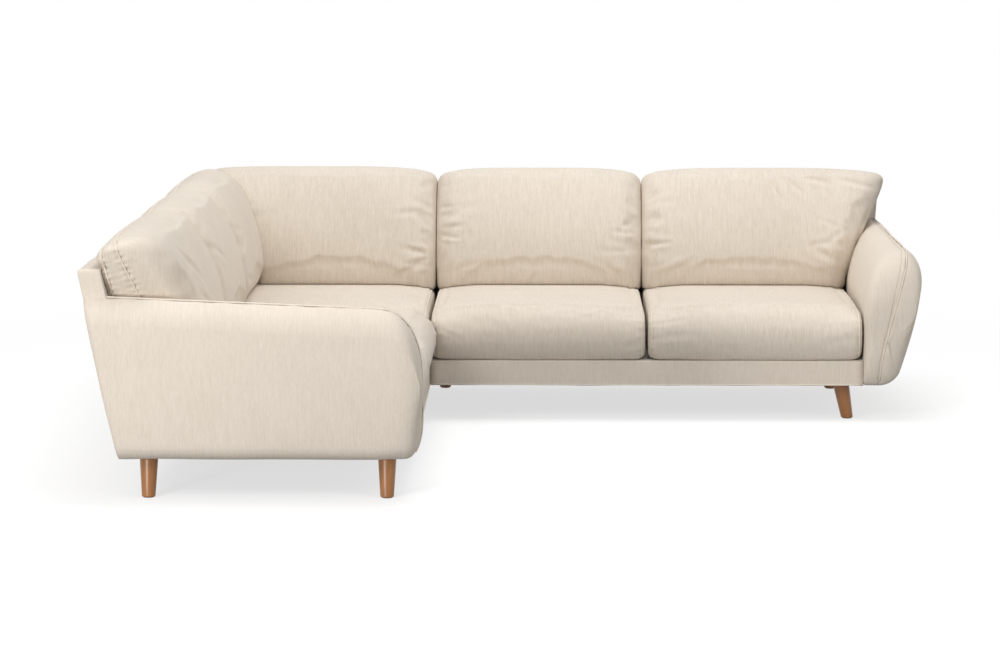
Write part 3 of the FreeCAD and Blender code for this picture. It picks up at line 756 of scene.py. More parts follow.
# %% Blow them up, and hold them to their room
STEPS = 20
MOVE_CAP = 0.024
SINK_CAP = {"seat": 0.002, "back": 0.0045}
for step in range(1, STEPS + 1):
    scene.frame_set(step)
for node, (case, surface, side, kind, (start, outward)) in cases.items():
    settled(case)
    moved = points_of(case) - start
    sunk = (moved * outward).sum(1, keepdims=True)
    moved -= outward * np.minimum(sunk + SINK_CAP[kind], 0.0)
    length = np.linalg.norm(moved, axis=1, keepdims=True)
    set_points(case, start + moved * np.minimum(1.0, MOVE_CAP / np.maximum(length, 1e-9)))
    relax(case, 10 if side == "left" and kind == "back" else 2, 0.45)
    held_to(case, surface, room_for(side, kind))
scene.frame_set(1)
print("cushions filled")

# %% [markdown]
# ## Folds that a sitter leaves
# Filled cloth is still too tidy. On the real cushions a few long shallow folds run in from the
# side seams and from the lower corners, and the top edges are pulled a little. A fold is a groove
# with a soft ridge on each side, pressed into the points near a line. Some lines are placed as the
# photograph shows them, and the rest come from a seeded chance, so they are the same each time.

# %% Press the folds
def press(piece, side, flat_axis, strokes):
    """Presses folds into a front (along and up) or a top (along and out)."""
    rows, facing = points_of(piece), normals_of(piece)
    spots = on_run(side, rows)
    first = spots[:, 0]
    second = spots[:, 2] if flat_axis == "front" else spots[:, 1]
    look = np.array(AHEAD[side] if flat_axis == "front" else UP)
    seen = np.clip((facing @ look - 0.15) * 2.0, 0.0, 1.0)
    push = np.zeros(len(rows))
    for a0, b0, a1, b1, depth, width in strokes:
        span = max((a1 - a0) ** 2 + (b1 - b0) ** 2, 1e-9)
        share = np.clip(((first - a0) * (a1 - a0) + (second - b0) * (b1 - b0)) / span, 0.0, 1.0)
        away = np.hypot(first - a0 - share * (a1 - a0), second - b0 - share * (b1 - b0))
        fade = np.sin(np.pi * np.clip(share, 0.04, 0.96)) ** 0.6
        push -= depth * fade * np.exp(-(away / width) ** 2)
        push += depth * 0.55 * fade * np.exp(-((away - 2.0 * width) / (1.1 * width)) ** 2)
    set_points(piece, rows + facing * (push * seen)[:, None])


def chance_folds(start, end, low, high, count):
    """Shallow folds that come in from both ends."""
    folds = []
    for number in range(count):
        from_start = number % 2 == 0
        edge = start + 0.015 if from_start else end - 0.015
        inward = (1 if from_start else -1) * chance.uniform(0.05, 0.16)
        height = chance.uniform(low, high)
        folds.append((edge, height, edge + inward, height + chance.uniform(-0.05, 0.05),
                      chance.uniform(0.0008, 0.0024), chance.uniform(0.007, 0.013)))
    return folds


# from and to, each as along and up, then depth and width
PLACED_FRONT = {
    "right_corner_back_cushion": (
        (0.865, 0.53, 0.80, 0.545, 0.005, 0.008), (0.86, 0.50, 0.78, 0.49, 0.004, 0.008),
        (0.74, 0.43, 0.86, 0.50, 0.005, 0.012)),
    "right_inner_back_cushion": (
        (0.92, 0.62, 1.0, 0.63, 0.004, 0.008), (0.92, 0.59, 0.99, 0.585, 0.004, 0.007),
        (1.26, 0.425, 1.275, 0.455, 0.004, 0.008), (0.95, 0.46, 1.08, 0.50, 0.003, 0.012),
        (1.64, 0.60, 1.56, 0.61, 0.003, 0.008), (1.60, 0.44, 1.50, 0.50, 0.003, 0.012)),
    "right_outer_back_cushion": (
        (2.12, 0.80, 2.20, 0.70, 0.006, 0.010), (2.17, 0.81, 2.28, 0.73, 0.006, 0.009),
        (2.25, 0.80, 2.38, 0.77, 0.006, 0.009), (2.40, 0.79, 2.50, 0.77, 0.005, 0.009),
        (1.69, 0.56, 1.77, 0.57, 0.004, 0.008), (2.40, 0.50, 2.30, 0.55, 0.005, 0.012),
        (1.72, 0.44, 1.86, 0.50, 0.005, 0.012)),
    "left_corner_back_cushion": (
        (0.86, 0.60, 0.74, 0.64, 0.003, 0.012), (0.84, 0.50, 0.70, 0.47, 0.003, 0.012)),
    "left_inner_back_cushion": (
        (1.64, 0.70, 1.45, 0.63, 0.003, 0.013), (0.94, 0.66, 1.1, 0.60, 0.003, 0.012)),
    "left_outer_back_cushion": (
        (2.38, 0.74, 2.16, 0.64, 0.004, 0.014), (2.34, 0.62, 2.10, 0.55, 0.003, 0.012),
        (2.36, 0.54, 2.20, 0.48, 0.003, 0.012)),
}
for node, (case, surface, side, kind, _) in cases.items():
    refined(case)
    run = on_run(side, points_of(case))[:, 0]
    first, last = run.min(), run.max()
    if kind == "back":
        count = 4 if side == "left" else 10
        folds = chance_folds(max(first, 0.12), min(last, ARM_START), 0.45, 0.74, count)
        press(case, side, "front", folds + list(PLACED_FRONT[node]))
    else:
        near = max(first, 0.32 if node == "corner_seat_cushion" else first)
        press(case, side, "top", chance_folds(near, last, 0.36, 0.80, 4))
        press(case, side, "front", chance_folds(first, last, 0.27, 0.36, 3))
print("folds pressed")

# %% [markdown]
# ## How the cushions sit
# A filled cushion isn't as stiff as foam. A seat cushion is lower at its ends than in its middle,
# and its sewn ends stand straight, so two neighbours meet in a dip with a narrow slot. A back
# cushion's lower corners are straight too and sink into that dip, which is found by looking down
# from each low point to the seat below it. Its top stands up in the middle and falls at the
# corners, its rear edge spills over the back's rail, and above the arm it is pulled out into an
# ear and lies against the end of the back. All of these are gentle pushes that fade out, so the
# cloth stays smooth.

# %% The seats: straight ends, lower than the middle
SEAT_SQUARED, SEAT_SQUARE_REACH = 0.55, 0.03
SEAT_DROP, SEAT_DROP_REACH = 0.011, 0.16


def near_end(distance, reach):
    """1 at an end and 0 from a reach away on."""
    return 1.0 - smooth(distance / reach)


for node, (case, surface, side, kind, _) in cases.items():
    if kind == "back":
        continue
    rows = points_of(case)
    if node == "corner_seat_cushion":
        to_ends = [run.max() - run for run in (on_run(one, rows)[:, 0] for one in SIDES)]
    else:
        run = on_run(side, rows)[:, 0]
        to_ends = [run.max() - run, run - run.min()]
        drawn = [SEAT_SQUARED * end * near_end(end, SEAT_SQUARE_REACH) for end in to_ends]
        shift = (drawn[0] - drawn[1]) * ramp(rows[:, 2], SEAT_TOP - 0.10, 0.05)
        rows += shift[:, None] * np.array(ALONG[side])
    lower = near_end(np.minimum(*to_ends), SEAT_DROP_REACH)
    rows[:, 2] -= SEAT_DROP * lower * ramp(rows[:, 2], SEAT_TOP - 0.06, 0.05)
    set_points(case, rows)
print("seat cushions settled")

# %% The backs: lower corners and the dip below
BACK_SQUARED, BACK_SQUARE_REACH = 0.6, 0.035
SETTLE_REACH = 0.05      # only points this close above the seats sink
SETTLE_MOST = 0.028
OPEN_DEPTH = 0.05        # taken for the dip where no seat is found in the slot
SEAT_GAP = 0.014         # between a seat's edge and the back cushion's lowest points


def squared(along, up):
    """Draws the low points of a back cushion out to its ends."""
    low = smooth(1.0 - (up - SEAT_TOP - 0.02) / 0.06)
    for sign, end in ((1.0, along.min()), (-1.0, along.max())):
        inward = sign * (along - end)
        along = end + sign * inward * (1.0 - BACK_SQUARED * low * near_end(inward, BACK_SQUARE_REACH))
    return along


def sink(rows, along, seat):
    """Lowers the low points of a back cushion onto the seat below it."""
    first, last = along.min() + 0.02, along.max() - 0.02
    for index in np.where(rows[:, 2] < SEAT_TOP + SETTLE_REACH)[0]:
        spot, _, _, depth = seat.ray_cast(Vector(rows[index]), Vector((0, 0, -1)), 0.12)
        beside_slot = spot is None and first < along[index] < last
        if beside_slot or along[index] > ARM_START - 0.003:
            continue
        room = max(rows[index][2] - (SEAT_TOP + SEAT_GAP), 0.0)
        gap = (depth if spot is not None else OPEN_DEPTH) - room - 0.0012
        rows[index][2] -= min(max(gap, 0.0), SETTLE_MOST) * float(smooth(1.0 - room / 0.05))


def seat_below(node):
    """The seat cushion that a back cushion stands on."""
    return "corner_seat_cushion" if "corner" in node else node.replace("back", "seat")


print("a back cushion stands on", seat_below("right_inner_back_cushion"))

# %% The backs: crown, spill and ear
CROWN = {True: 0.016, False: 0.011}    # of the two in the corner, and of the others
CORNER_FALL = 0.022                    # how far the top's corners lie below its middle
SPILL = 0.018                          # how far the rear edge goes back over the rail
HUG_START, HUG = 2.445, 0.055          # where it lies against the end of the back, and how far
EAR_START, EAR = 2.38, 0.022
STANDS_OFF = 0.0712                    # from the back's outer face to a cushion's rear


def dressed(spots, crown):
    """Crowns, spills and pulls out a back cushion, from its places along its run."""
    along = spots[:, 0].copy()
    first, last = along.min(), along.max()
    from_middle = np.abs(2.0 * (along - first) / (last - first) - 1.0)
    spots[:, 2] += (crown - CORNER_FALL * from_middle ** 4) * ramp(spots[:, 2], 0.58, 0.20)
    up, clear = spots[:, 2], spots[:, 1] - back_face(spots[:, 2])
    over_rail = ramp(up, 0.722, 0.03)
    behind = smooth(1.0 - (clear - 0.070) / 0.10)
    beyond = ramp(along, HUG_START, 0.03) * ramp(up, 0.56, 0.05) * (1.0 - ramp(up, 0.68, 0.04))
    stands_off = clear - STANDS_OFF
    hugging = HUG * beyond * smooth(1.3 - stands_off / 0.07)
    most = np.maximum(SPILL * over_rail * behind, hugging)
    spots[:, 1] -= np.clip(stands_off + 0.05 * over_rail, 0.0, most)
    spots[:, 0] += EAR * ramp(up, 0.60, 0.18) * ramp(along, EAR_START, 0.12)
    return spots


seat_skins = {node: skin_of(case[0]) for node, case in cases.items() if case[3] == "seat"}
for node, (case, surface, side, kind, _) in cases.items():
    if kind == "seat":
        continue
    rows = points_of(case)
    along = squared(on_run(side, rows)[:, 0], rows[:, 2])
    sink(rows, along, seat_skins[seat_below(node)])
    spots = on_run(side, rows)
    spots[:, 0] = along
    spots = dressed(spots, CROWN["corner" in node])
    set_points(case, np.array([place(side, *spot) for spot in spots]))
print("back cushions settled")

# %% [markdown]
# ## Seams and piping
# The parts of a cushion's case are joined with a corded seam: a strip of the same cloth around a
# thin cord. It stands a little proud and the cloth beside it dips and puckers. To find where it
# runs, rays go out from the cushion's middle in the plane of the seam and stop at the cloth. The
# points near that line are drawn in, in small regular puckers, and a thin tube is laid on it. The
# tube's cloth is painted paler than the cover, as a highlight along the cord.

# %% Corded seams
SEAM_RAYS = 220
SEAT_CORD = (0.0021, 0.0022)    # the cord's radius, and how deep the cloth beside it dips
BACK_CORD = (0.0031, 0.0046)


def seam_line(piece, centre, first, second):
    """Where a plane through the centre meets the cloth, as a closed line."""
    skin = skin_of(piece)
    line = []
    for turn in turns(SEAM_RAYS):
        heading = (first * math.cos(turn) + second * math.sin(turn)).normalized()
        spot, _, _, _ = skin.ray_cast(centre, heading, 4.0)
        if spot is not None:
            line.append(spot)
    return line


def evenly(line, gap, closed=True):
    """The same line with points at even distances."""
    rows = np.array([tuple(p) for p in line])
    if closed:
        rows = np.vstack((rows, rows[:1]))
    lengths = np.concatenate(([0.0], np.cumsum(np.linalg.norm(np.diff(rows, axis=0), axis=1))))
    count = max(int(lengths[-1] / gap), 8)
    at = np.linspace(0.0, lengths[-1], count, endpoint=not closed)
    return np.stack([np.interp(at, lengths, rows[:, axis]) for axis in range(3)], axis=1)


def draw_in(piece, line, depth, width, pucker=0.4, pitch=0.022):
    """Draws the cloth in along a line, with small puckers."""
    rows, facing = points_of(piece), normals_of(piece)
    low, high = line.min(0) - 4 * width, line.max(0) + 4 * width
    near = np.where(np.all((rows > low) & (rows < high), axis=1))[0]
    picked = rows[near]
    best = np.full(len(near), 1e9)
    which = np.zeros(len(near), int)
    for begin in range(0, len(near), 4000):
        block = picked[begin:begin + 4000]
        gaps = ((block[:, None, :] - line[None, :, :]) ** 2).sum(2)
        which[begin:begin + 4000] = gaps.argmin(1)
        best[begin:begin + 4000] = np.sqrt(gaps.min(1))
    run = which * np.linalg.norm(line[1] - line[0]) * 2 * math.pi
    wave = 1.0 + pucker * np.sin(run / pitch) + pucker * 0.6 * np.sin(run / (pitch * 2.7))
    fall = np.exp(-(best / width) ** 2)
    wider = np.exp(-(best / (3.2 * width)) ** 2) * 0.5 * (wave - 1.0)
    rows[near] -= facing[near] * ((fall * wave + wider) * depth)[:, None]
    set_points(piece, rows)


print("seam helpers ready")


# %% Sew the cushions
def corded(piece, label, centre, first, second, sizes, body):
    """A seam with its cord, which rides with the cushion."""
    radius, depth = sizes
    line = evenly(seam_line(piece, centre, first, second), 0.006)
    draw_in(piece, line, depth, 0.008)
    sunk = [Vector(p) - (Vector(p) - centre).normalized() * depth * 0.5 for p in line]
    cord = tube(label, sunk, radius, piping_cloth_painted_highlight)
    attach(cord, body)


for node, (case, surface, side, kind, _) in cases.items():
    body = node.replace("_cushion", "")
    case.data.materials.clear()
    case.data.materials.append(cushion_cloth[side])
    case.data.polygons.foreach_set("use_smooth", [True] * len(case.data.polygons))
    spots = on_run(side, points_of(case))
    low, high = spots.min(0), spots.max(0)
    middle_up = (low[2] + high[2]) / 2
    if node == "corner_seat_cushion":
        for one, word in (("right", "front"), ("left", "side")):
            centre = place(one, high[0] - 0.012, 0.6, middle_up)
            corded(case, "corner_seat_cord_" + word, centre, AHEAD[one], UP, SEAT_CORD, body)
    elif kind == "seat":
        for word, along in (("start", low[0] + 0.012), ("end", high[0] - 0.012)):
            centre = place(side, along, 0.62, middle_up)
            corded(case, body + "_cord_" + word, centre, AHEAD[side], UP, SEAT_CORD, body)
    else:
        for word, out, slope in (("front", 0.077, 0.385), ("rear", -0.008, 0.205)):
            centre = place(side, (low[0] + high[0]) / 2, out, 0.60)
            rising = (UP - AHEAD[side] * slope).normalized()
            corded(case, body + "_cord_" + word, centre, ALONG[side], rising, BACK_CORD, body)
    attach(case, body)
    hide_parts(node)
print("seams sewn on", len(cases), "cushions")

# %% [markdown]
# ## The arms
# The arm is what this sofa is known by. Its inside, top and front are one padded face around a
# board. Outside it carries a full panel like a bolster, sewn on along a crisp seam that runs along
# the top, round the nose and down the front. Both leave the seam at the same points, so the two
# forms are drawn from one cross-section that changes from the back to the nose. A loft of many
# such sections gives clean rows of faces along the seam, which a blown-up mesh wouldn't. A row of
# stitches on the padding follows the seam.

# %% The arm's cross-section
ARM_FRONT = 0.935                        # how far out the nose reaches
REAR_TOP, FRONT_TOP = 0.633, 0.599       # the seam's height at the back and at the nose
REAR_SEAM, FRONT_SEAM = 0.127, 0.165     # and its distance from the arm's inner face
FOOT = 0.070                             # where the outer panel starts, from the inner face
BULGE = 0.044                            # how far the panel swells past its seam
NOSE = 0.135                             # how deep the round of the nose is


def shrinks(distance, reach):
    """1 at the very front and 0 a reach behind it, along a full round."""
    share = min(max(distance / reach, 0.0), 1.0)
    return 1.0 - (1.0 - (1.0 - share) ** 2.4) ** (1.0 / 2.4)


def front_seam(up):
    """How far from the arm's inner face the seam runs down its front, at a height."""
    return float(np.interp(up, (0.126, 0.211, 0.301, 0.421, 0.551, 0.604),
                           (0.054, 0.060, 0.078, 0.111, 0.146, 0.153)))


def arm_corners(out):
    """The corners of the section, as offsets from the arm's inner face and heights."""
    tip = max(ARM_FRONT - out, 0.0)
    share = out / ARM_FRONT
    top = REAR_TOP + (FRONT_TOP - REAR_TOP) * share - 0.230 * shrinks(tip, NOSE)
    low = LEG_TOP + 0.150 * shrinks(tip, 0.060)
    tall = top - low
    inward = 0.032 * shrinks(tip, 0.050)
    outward = 0.062 * shrinks(tip, 0.095)
    seam = REAR_SEAM + (FRONT_SEAM - REAR_SEAM) * share
    nose = min(max((NOSE - tip) / 0.07, 0.0), 1.0)
    foot = FOOT - outward / 2
    edge = seam - outward * 0.6 - 0.008
    foot += (front_seam(low) - foot) * nose
    edge += (front_seam(top) - edge) * nose
    heel = (FOOT + BULGE * 1.35 - outward, low + min(0.042, tall / 4))
    shoulder = (seam + BULGE - outward, top - min(0.088, tall / 3))
    above = (top - SEAT_TOP) / (REAR_TOP - SEAT_TOP)
    return {
        "inside": (inward, low), "foot": (foot, low), "heel": heel,
        "waist": ((heel[0] + shoulder[0]) / 2 + 0.010, (heel[1] + shoulder[1]) / 2),
        "shoulder": shoulder, "edge": (edge, top),
        "brow": (inward + max(0.065 * above, 0.012), top - 0.012),
        "knee": (inward, min(SEAT_TOP + 0.025, low + 0.66 * tall)),
    }


def bend(start, heading, end, count):
    """Points of the arc that leaves a start along a heading and ends at an end."""
    start, end, heading = np.array(start), np.array(end), np.array(heading, float)
    heading /= np.linalg.norm(heading)
    chord = end - start
    side = np.array((-heading[1], heading[0]))
    lean = chord @ side
    if abs(lean) < 1e-9:
        return [start + chord * t for t in np.linspace(0, 1, count)]
    radius = (chord @ chord) / (2 * lean)
    centre = start + side * radius
    full = 2 * math.atan2(chord @ side, chord @ heading)
    return [centre - side * radius * math.cos(turn) + heading * radius * math.sin(turn)
            for turn in np.linspace(0.0, full, count)]


def straight(start, end, count):
    """Points on a straight line, without its end."""
    return [start + (end - start) * t for t in np.linspace(0, 1, count, endpoint=False)]


def pulled(start, pull, end, count):
    """Points of a curve from a start to an end that is drawn towards a third point."""
    return [(1 - t) ** 2 * start + 2 * t * (1 - t) * pull + t * t * end
            for t in np.linspace(0, 1, count)]


def through(start, middle, end, count):
    """Points of a smooth curve from a start through a middle to an end."""
    start, middle, end = (np.array(p, float) for p in (start, middle, end))
    return pulled(start, 2 * middle - (start + end) / 2, end, count)


def corner_round(before, corner, after, reach, count):
    """Points that round a corner between two straight sides."""
    before, corner, after = (np.array(p, float) for p in (before, corner, after))
    one, two = before - corner, after - corner
    start = corner + one * min(reach / np.linalg.norm(one), 0.48)
    end = corner + two * min(reach / np.linalg.norm(two), 0.48)
    return pulled(start, corner, end, count)


print("arm section at the nose", arm_corners(0.9)["edge"])

# %% Rings of the arm's two forms
REARS = {"panel": (-0.10, 0.0), "padding": (-0.03, 0.0705)}


def outs_of_arm(form):
    """Distances out for a form's sections, closer together round the nose."""
    nose = [ARM_FRONT - NOSE * (1 - math.sin(turn) ** (1 / 1.2))
            for turn in np.linspace(0.0, math.pi / 2, 30)]
    return list(np.arange(REARS[form][0], 0.79, 0.022)) + nose


def on_arm(side, out, spot, form):
    """The place of a section's point. The rear end is drawn onto the leaning face it stops at."""
    along, up = spot
    start, stands_off = REARS[form]
    pull = max(0.0, 1.0 - (out - start) / 0.30)
    return place(side, ARM_START + along, out + (back_face(up) + stands_off - start) * pull, up)


def closing(start, middle, end):
    """Three points that close a section inside the arm."""
    return [start + (middle - start) * t for t in (0.4, 1.0)] + [middle + (end - middle) * 0.6]


def outer_ring(out):
    """The outer panel's section: foot, heel, full side, edge, and the flat against the board."""
    c = arm_corners(out)
    ring = bend(c["foot"], (1, 0), c["heel"], 10)[:-1]
    ring += through(c["heel"], c["waist"], c["shoulder"], 22)[:-1]
    ring += bend(c["shoulder"], (0, 1), c["edge"], 16)
    foot, edge = np.array(c["foot"]), np.array(c["edge"])
    return ring + closing(edge, (edge + foot) / 2 - (foot - np.array(c["inside"])) * 0.15, foot)


def inner_ring(out):
    """The inner padding's section: the top and the face towards the seat as one full curve."""
    c = arm_corners(out)
    names = ("edge", "brow", "knee", "inside", "foot")
    edge, brow, knee, inside, foot = (np.array(c[name]) for name in names)
    pull_top = np.array((brow[0] + (edge[0] - brow[0]) * 0.05, edge[1] + 0.003))
    pull_knee = np.array((inside[0] + (brow[0] - inside[0]) * 0.30,
                          knee[1] + (brow[1] - knee[1]) * 0.80))
    ring = [(1 - t) ** 3 * edge + 3 * t * (1 - t) ** 2 * pull_top
            + 3 * t * t * (1 - t) * pull_knee + t ** 3 * knee for t in np.linspace(0, 1, 30)]
    turn = corner_round(knee, inside, foot, 0.012, 5)
    ring = ring[:-1] + straight(knee, turn[0], 12) + turn[:-1] + straight(turn[-1], foot, 4) + [foot]
    return ring + closing(foot, (edge + foot) / 2 + (foot - inside) * 0.15, edge)


print("points in a ring:", len(outer_ring(0.0)), "and", len(inner_ring(0.0)))

# %% Loft a form
END_RINGS = (0.9, 0.78, 0.64, 0.48, 0.32, 0.16)


def lofted(label, side, ring_of, form):
    """A closed form through a ring at each distance out, with rings that shrink in its two ends."""
    outs = outs_of_arm(form)
    sections = [[on_arm(side, out, spot, form) for spot in ring_of(out)] for out in outs]
    count = len(sections[0])
    points = [spot for section in sections for spot in section]
    faces = ring_faces(len(sections), count)
    for row, turned in ((0, True), (len(sections) - 1, False)):
        outer = list(range(row * count, (row + 1) * count))
        middle = sum(sections[row], Vector()) / count
        for shrink in END_RINGS:
            inner = list(range(len(points), len(points) + count))
            points += [middle + (spot - middle) * shrink for spot in sections[row]]
            for step in range(count):
                ahead = (step + 1) % count
                face = (outer[step], outer[ahead], inner[ahead], inner[step])
                faces.append(tuple(reversed(face)) if turned else face)
            outer = inner
        points.append(middle)
        for step in range(count):
            face = (outer[step], outer[(step + 1) % count], len(points) - 1)
            faces.append(tuple(reversed(face)) if turned else face)
    return facing_out(new_piece(label, points, faces, cover_cloth[side]))


def loosened(piece, amount, size, seed):
    """Moves the cloth in and out a little in broad soft patches."""
    rows, facing = points_of(piece), normals_of(piece)
    shift = Vector((seed * 3.7, seed * 1.3, seed * 2.1))
    for index, row in enumerate(rows):
        rows[index] += facing[index] * field.noise(Vector(row) / size + shift) * amount
    set_points(piece, rows)


print("sections of the outer panel:", len(outs_of_arm("panel")))

# %% Sew the arms
SEAM_GAP = 0.005
SEAM_END, STITCH_END = 0.146, 0.150    # the heights at which they stop at the front


def seam_of_arm(side):
    """Where the two forms meet: along the top, round the nose and down the front."""
    sections = [(out, arm_corners(out)) for out in outs_of_arm("panel")]
    seam = [on_arm(side, out, c["edge"], "panel") for out, c in sections]
    seam += [on_arm(side, out, c["foot"], "panel")
             for out, c in reversed(sections) if c["foot"][1] > SEAM_END]
    return evenly(seam, SEAM_GAP, closed=False)


def topstitched(padding, side):
    """A row of stitches beside the seam, laid on the padding."""
    rings = [(out, inner_ring(out)) for out in outs_of_arm("padding")]
    beside = [on_arm(side, out, ring[2], "padding") for out, ring in rings]
    beside += [on_arm(side, out, ring[-5], "padding")
               for out, ring in reversed(rings) if ring[-5][1] > STITCH_END]
    line = evenly(beside, SEAM_GAP, closed=False)
    draw_in(padding, line, 0.0012, 0.005, 0.2, 0.014)
    skin = skin_of(padding)
    nearest = [skin.find_nearest(Vector(spot)) for spot in line]
    laid = [spot + facing * 0.0003 for spot, facing, _, _ in nearest]
    return tube(side + "_arm_topstitch", laid, 0.0008, stitch_thread, closed=False, sides=6)


for side in SIDES:
    panel = lofted(side + "_arm_panel", side, outer_ring, "panel")
    padding = lofted(side + "_arm_padding", side, inner_ring, "padding")
    line = seam_of_arm(side)
    for piece, node in ((panel, "_arm_cover"), (padding, "_arm_pad")):
        loosened(piece, 0.0022, 0.16, len(side))
        draw_in(piece, line, 0.0024, 0.006, 0.35, 0.028)
        fixed(piece, side + node)
    fixed(tube(side + "_arm_cord", line, 0.0024, piping_cloth_painted_highlight, closed=False))
    fixed(topstitched(padding, side))
    print(side, "arm: a seam of", round(len(line) * SEAM_GAP, 2), "m")

# %% [markdown]
# ## The back's cover, its padding and the front border
# These are long parts with one profile: cloth over thin wadding, stretched over a board. The
# profile is swept along the run, the ends at the corner are cut on the diagonal, and the faces are
# let out a little between the edges, because stretched cloth over wadding is never flat.

# %% Sweep the long parts
STATION_GAP = 0.03
MITRE_GAP, END_GAP = 0.0015, 0.0005
RUN_START, CORNER_END = 0.9013, 0.9007


def rounded(corners, radii):
    """A closed profile whose corners are rounded, with its long sides divided."""
    profile = []
    for index, corner in enumerate(corners):
        before, after = corners[index - 1], corners[(index + 1) % len(corners)]
        profile += corner_round(before, corner, after, radii[index], 5)
    full = []
    for index, spot in enumerate(profile):
        after = profile[(index + 1) % len(profile)]
        steps = max(int(np.linalg.norm(after - spot) / 0.03), 1)
        full += [spot + (after - spot) * t / steps for t in range(steps)]
    return full


def end_of_back(out, up):
    """How far along the back runs behind the arm: to the arm's outer seam."""
    edge = 0.119 + 0.041 * out
    return ARM_START + FOOT + (edge - FOOT) * (up - LEG_TOP) / (0.636 - LEG_TOP)


def swept(label, side, profile, start, end, material):
    """A profile swept along a run. With no start it follows the corner's diagonal, and with no
    end it follows the arm's outer seam."""
    stations = int((CORNER if start is None else 2 * PITCH) / STATION_GAP) + 1
    points = []
    for number in range(stations):
        for out, up in profile:
            first = out + MITRE_GAP if start is None else start
            last = end_of_back(out, up) - END_GAP if end is None else end
            points.append(place(side, first + (last - first) * (number / (stations - 1)), out, up))
    faces = ring_faces(stations, len(profile)) + end_faces(stations, len(profile))
    return facing_out(new_piece(label, points, faces, material))


def leaning(out, up):
    """A profile point that leans with the back."""
    return np.array((out + back_face(up), up))


print("the back ends", round(end_of_back(0.0, BACK_TOP) - ARM_START, 3), "m past the arm's face")

# %% Cover the back and the front
COVER_DEPTH, BACK_DEPTH = 0.012, 0.070
PAD_REAR = 0.044
BORDER_REAR, BORDER_FRONT = 0.889, 0.901
cap_low = BACK_TOP - 0.012
cover_profile = rounded(
    (leaning(0.0, LEG_TOP), leaning(COVER_DEPTH, LEG_TOP), leaning(COVER_DEPTH, cap_low),
     leaning(BACK_DEPTH, cap_low), leaning(BACK_DEPTH, BACK_TOP), leaning(0.0, BACK_TOP)),
    (0.004, 0.003, 0.002, 0.002, 0.008, 0.010))
pad_profile = rounded(
    (leaning(PAD_REAR, BASE_TOP), leaning(BACK_DEPTH, BASE_TOP), leaning(BACK_DEPTH, cap_low),
     leaning(PAD_REAR, cap_low)), (0.002, 0.006, 0.003, 0.002))
border_profile = rounded(
    ((BORDER_REAR, LEG_TOP), (BORDER_FRONT, LEG_TOP), (BORDER_FRONT, BASE_TOP),
     (BORDER_REAR, BASE_TOP)), (0.002, 0.006, 0.006, 0.002))
LONG_PARTS = (("_back_cover", cover_profile, RUN_START, None),
              ("_corner_back_cover", cover_profile, None, CORNER_END),
              ("_back_pad", pad_profile, RUN_START, None),
              ("_corner_back_pad", pad_profile, None, CORNER_END),
              ("_front_border", border_profile, RUN_START, ARM_START))
for side in SIDES:
    for seed, (node, profile, start, end) in enumerate(LONG_PARTS):
        material = lining if "pad" in node else cover_cloth[side]
        piece = swept(side + node + "_cloth", side, profile, start, end, material)
        loosened(piece, 0.0016, 0.13, seed + 11 + len(side))
        fixed(piece, side + node)
    hem = [place(side, along, 0.9014, LEG_TOP + 0.0035)
           for along in np.arange(RUN_START, ARM_START, 0.02)]
    fixed(tube(side + "_border_welt", hem, 0.0022, piping_cloth_painted_highlight, closed=False))
print("long parts swept on both runs")

# %% [markdown]
# ## Ends of the back
# Above each arm the end of the back shows. On the real sofa the outer cover is folded round the
# board there and sewn shut, so a small padded panel closes the end. Without it the raw edge of
# the board would show beside the last cushion.

# %% Close the ends of the back
END_LOW, THICK = 0.600, 0.007
# how far each ring stands past the end of the back, and how much it shrinks
LAYERS = ((-0.0010, 1.0), (0.0010, 1.0), (THICK * 0.6, 0.985), (THICK * 0.9, 0.93),
          (THICK, 0.80), (THICK, 0.4))
outline = rounded((leaning(-0.001, END_LOW), leaning(0.071, END_LOW), leaning(0.071, BACK_TOP),
                   leaning(-0.001, BACK_TOP)), (0.004, 0.004, 0.010, 0.012))
middle = sum(outline) / len(outline)
for side in SIDES:
    points = []
    for along, shrink in LAYERS:
        for spot in outline:
            out, up = middle + (spot - middle) * shrink
            points.append(place(side, end_of_back(out, up) + along, out, up))
    faces = ring_faces(len(LAYERS), len(outline)) + end_faces(len(LAYERS), len(outline))
    end = facing_out(new_piece(side + "_back_end_cloth", points, faces, cover_cloth[side]))
    fixed(end)
print("ends of the back closed")

# %% [markdown]
# ## The legs
# Eight turned oak legs carry the sofa. Each is a slim cone that grows towards its top, and the
# four under the arms lean outwards. They are lathed here: rings of points around a leaning axis,
# with a softened foot edge and a felt glide that keeps the wood off the floor.

# %% Turn the legs
LEGS = [name for name in sorted(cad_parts) if name.endswith("_leg")]
# share of the leg's height, and how much less than the plain cone it measures there
LEG_RINGS = ((0.018, 0.0035), (0.022, 0.0014), (0.03, 0.0003), (0.05, 0.0), (0.3, 0.0),
             (0.6, 0.0), (0.9, 0.0), (0.985, 0.0), (1.0, 0.001))


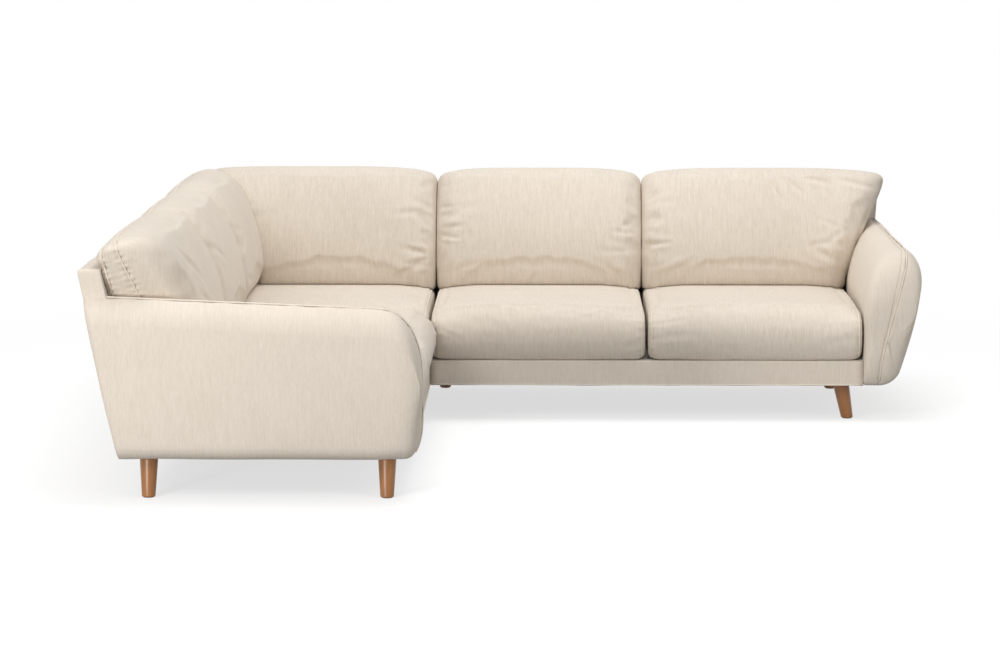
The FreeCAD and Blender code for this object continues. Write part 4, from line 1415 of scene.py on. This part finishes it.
def lathe(label, rings, material, sides=40):
    """A round form from rings, each a centre and a radius, closed at both ends."""
    points = [Vector(centre) + Vector((math.cos(turn), math.sin(turn), 0)) * radius
              for centre, radius in rings for turn in turns(sides)]
    faces = ring_faces(len(rings), sides) + end_faces(len(rings), sides)
    return new_piece(label, points, faces, material)


def disc_of(rows):
    """The middle, without its height, and the radius of a flat round of points."""
    low, high = rows.min(0), rows.max(0)
    return Vector((low[0] + high[0], low[1] + high[1], 0)) / 2, (high[0] - low[0]) / 2


for name in LEGS:
    rows = points_of(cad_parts[name])
    low, high = rows[:, 2].min(), rows[:, 2].max()
    foot, foot_radius = disc_of(rows[rows[:, 2] < low + 0.002])
    top, top_radius = disc_of(rows[rows[:, 2] > high - 0.002])
    rings = []
    for share, less in LEG_RINGS:
        spot = foot + (top - foot) * share
        spot.z = low + (high - low) * share
        rings.append((spot, foot_radius + (top_radius - foot_radius) * share - less))
    fixed(lathe(name + "_turned", rings, oak), name)
    under = foot + (top - foot) * 0.01
    pad_top = low + (high - low) * 0.02
    rings = [(Vector((under.x, under.y, up)), foot_radius - less)
             for up, less in ((low + 0.0002, 0.005), (low + 0.0010, 0.0038), (pad_top, 0.0038))]
    fixed(lathe(name + "_glide", rings, felt))
print("legs turned:", len(LEGS))

# %% [markdown]
# ## What stays from the frame
# Boards, rails, beams, webbing, platforms and dust covers already have their real shape, so they
# stay and only get a finish. Most of them show when a cushion is lifted or from underneath.

# %% Finish the carried-over parts
FINISHES = (("webbing", webbing), ("dust_cover", dust_cloth), ("deck", lining), ("leg", oak))
for name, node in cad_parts.items():
    finish = next((material for word, material in FINISHES if word in name), timber)
    if not node.material_slots:
        node.data.materials.append(finish)
    for slot in node.material_slots:
        slot.material = finish
print("carried over:", sum(not node.hide_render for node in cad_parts.values()), "nodes")

# %% [markdown]
# ## Sizes
# The dressed sofa may stand only a little proud of the frame, as cloth does. Both boxes are
# printed.

# %% Write the sizes
dressed_low, dressed_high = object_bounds()
for word, low, high in (("frame", cad_low, cad_high), ("dressed", dressed_low, dressed_high)):
    print(word, [round(v, 4) for v in high - low], "m")
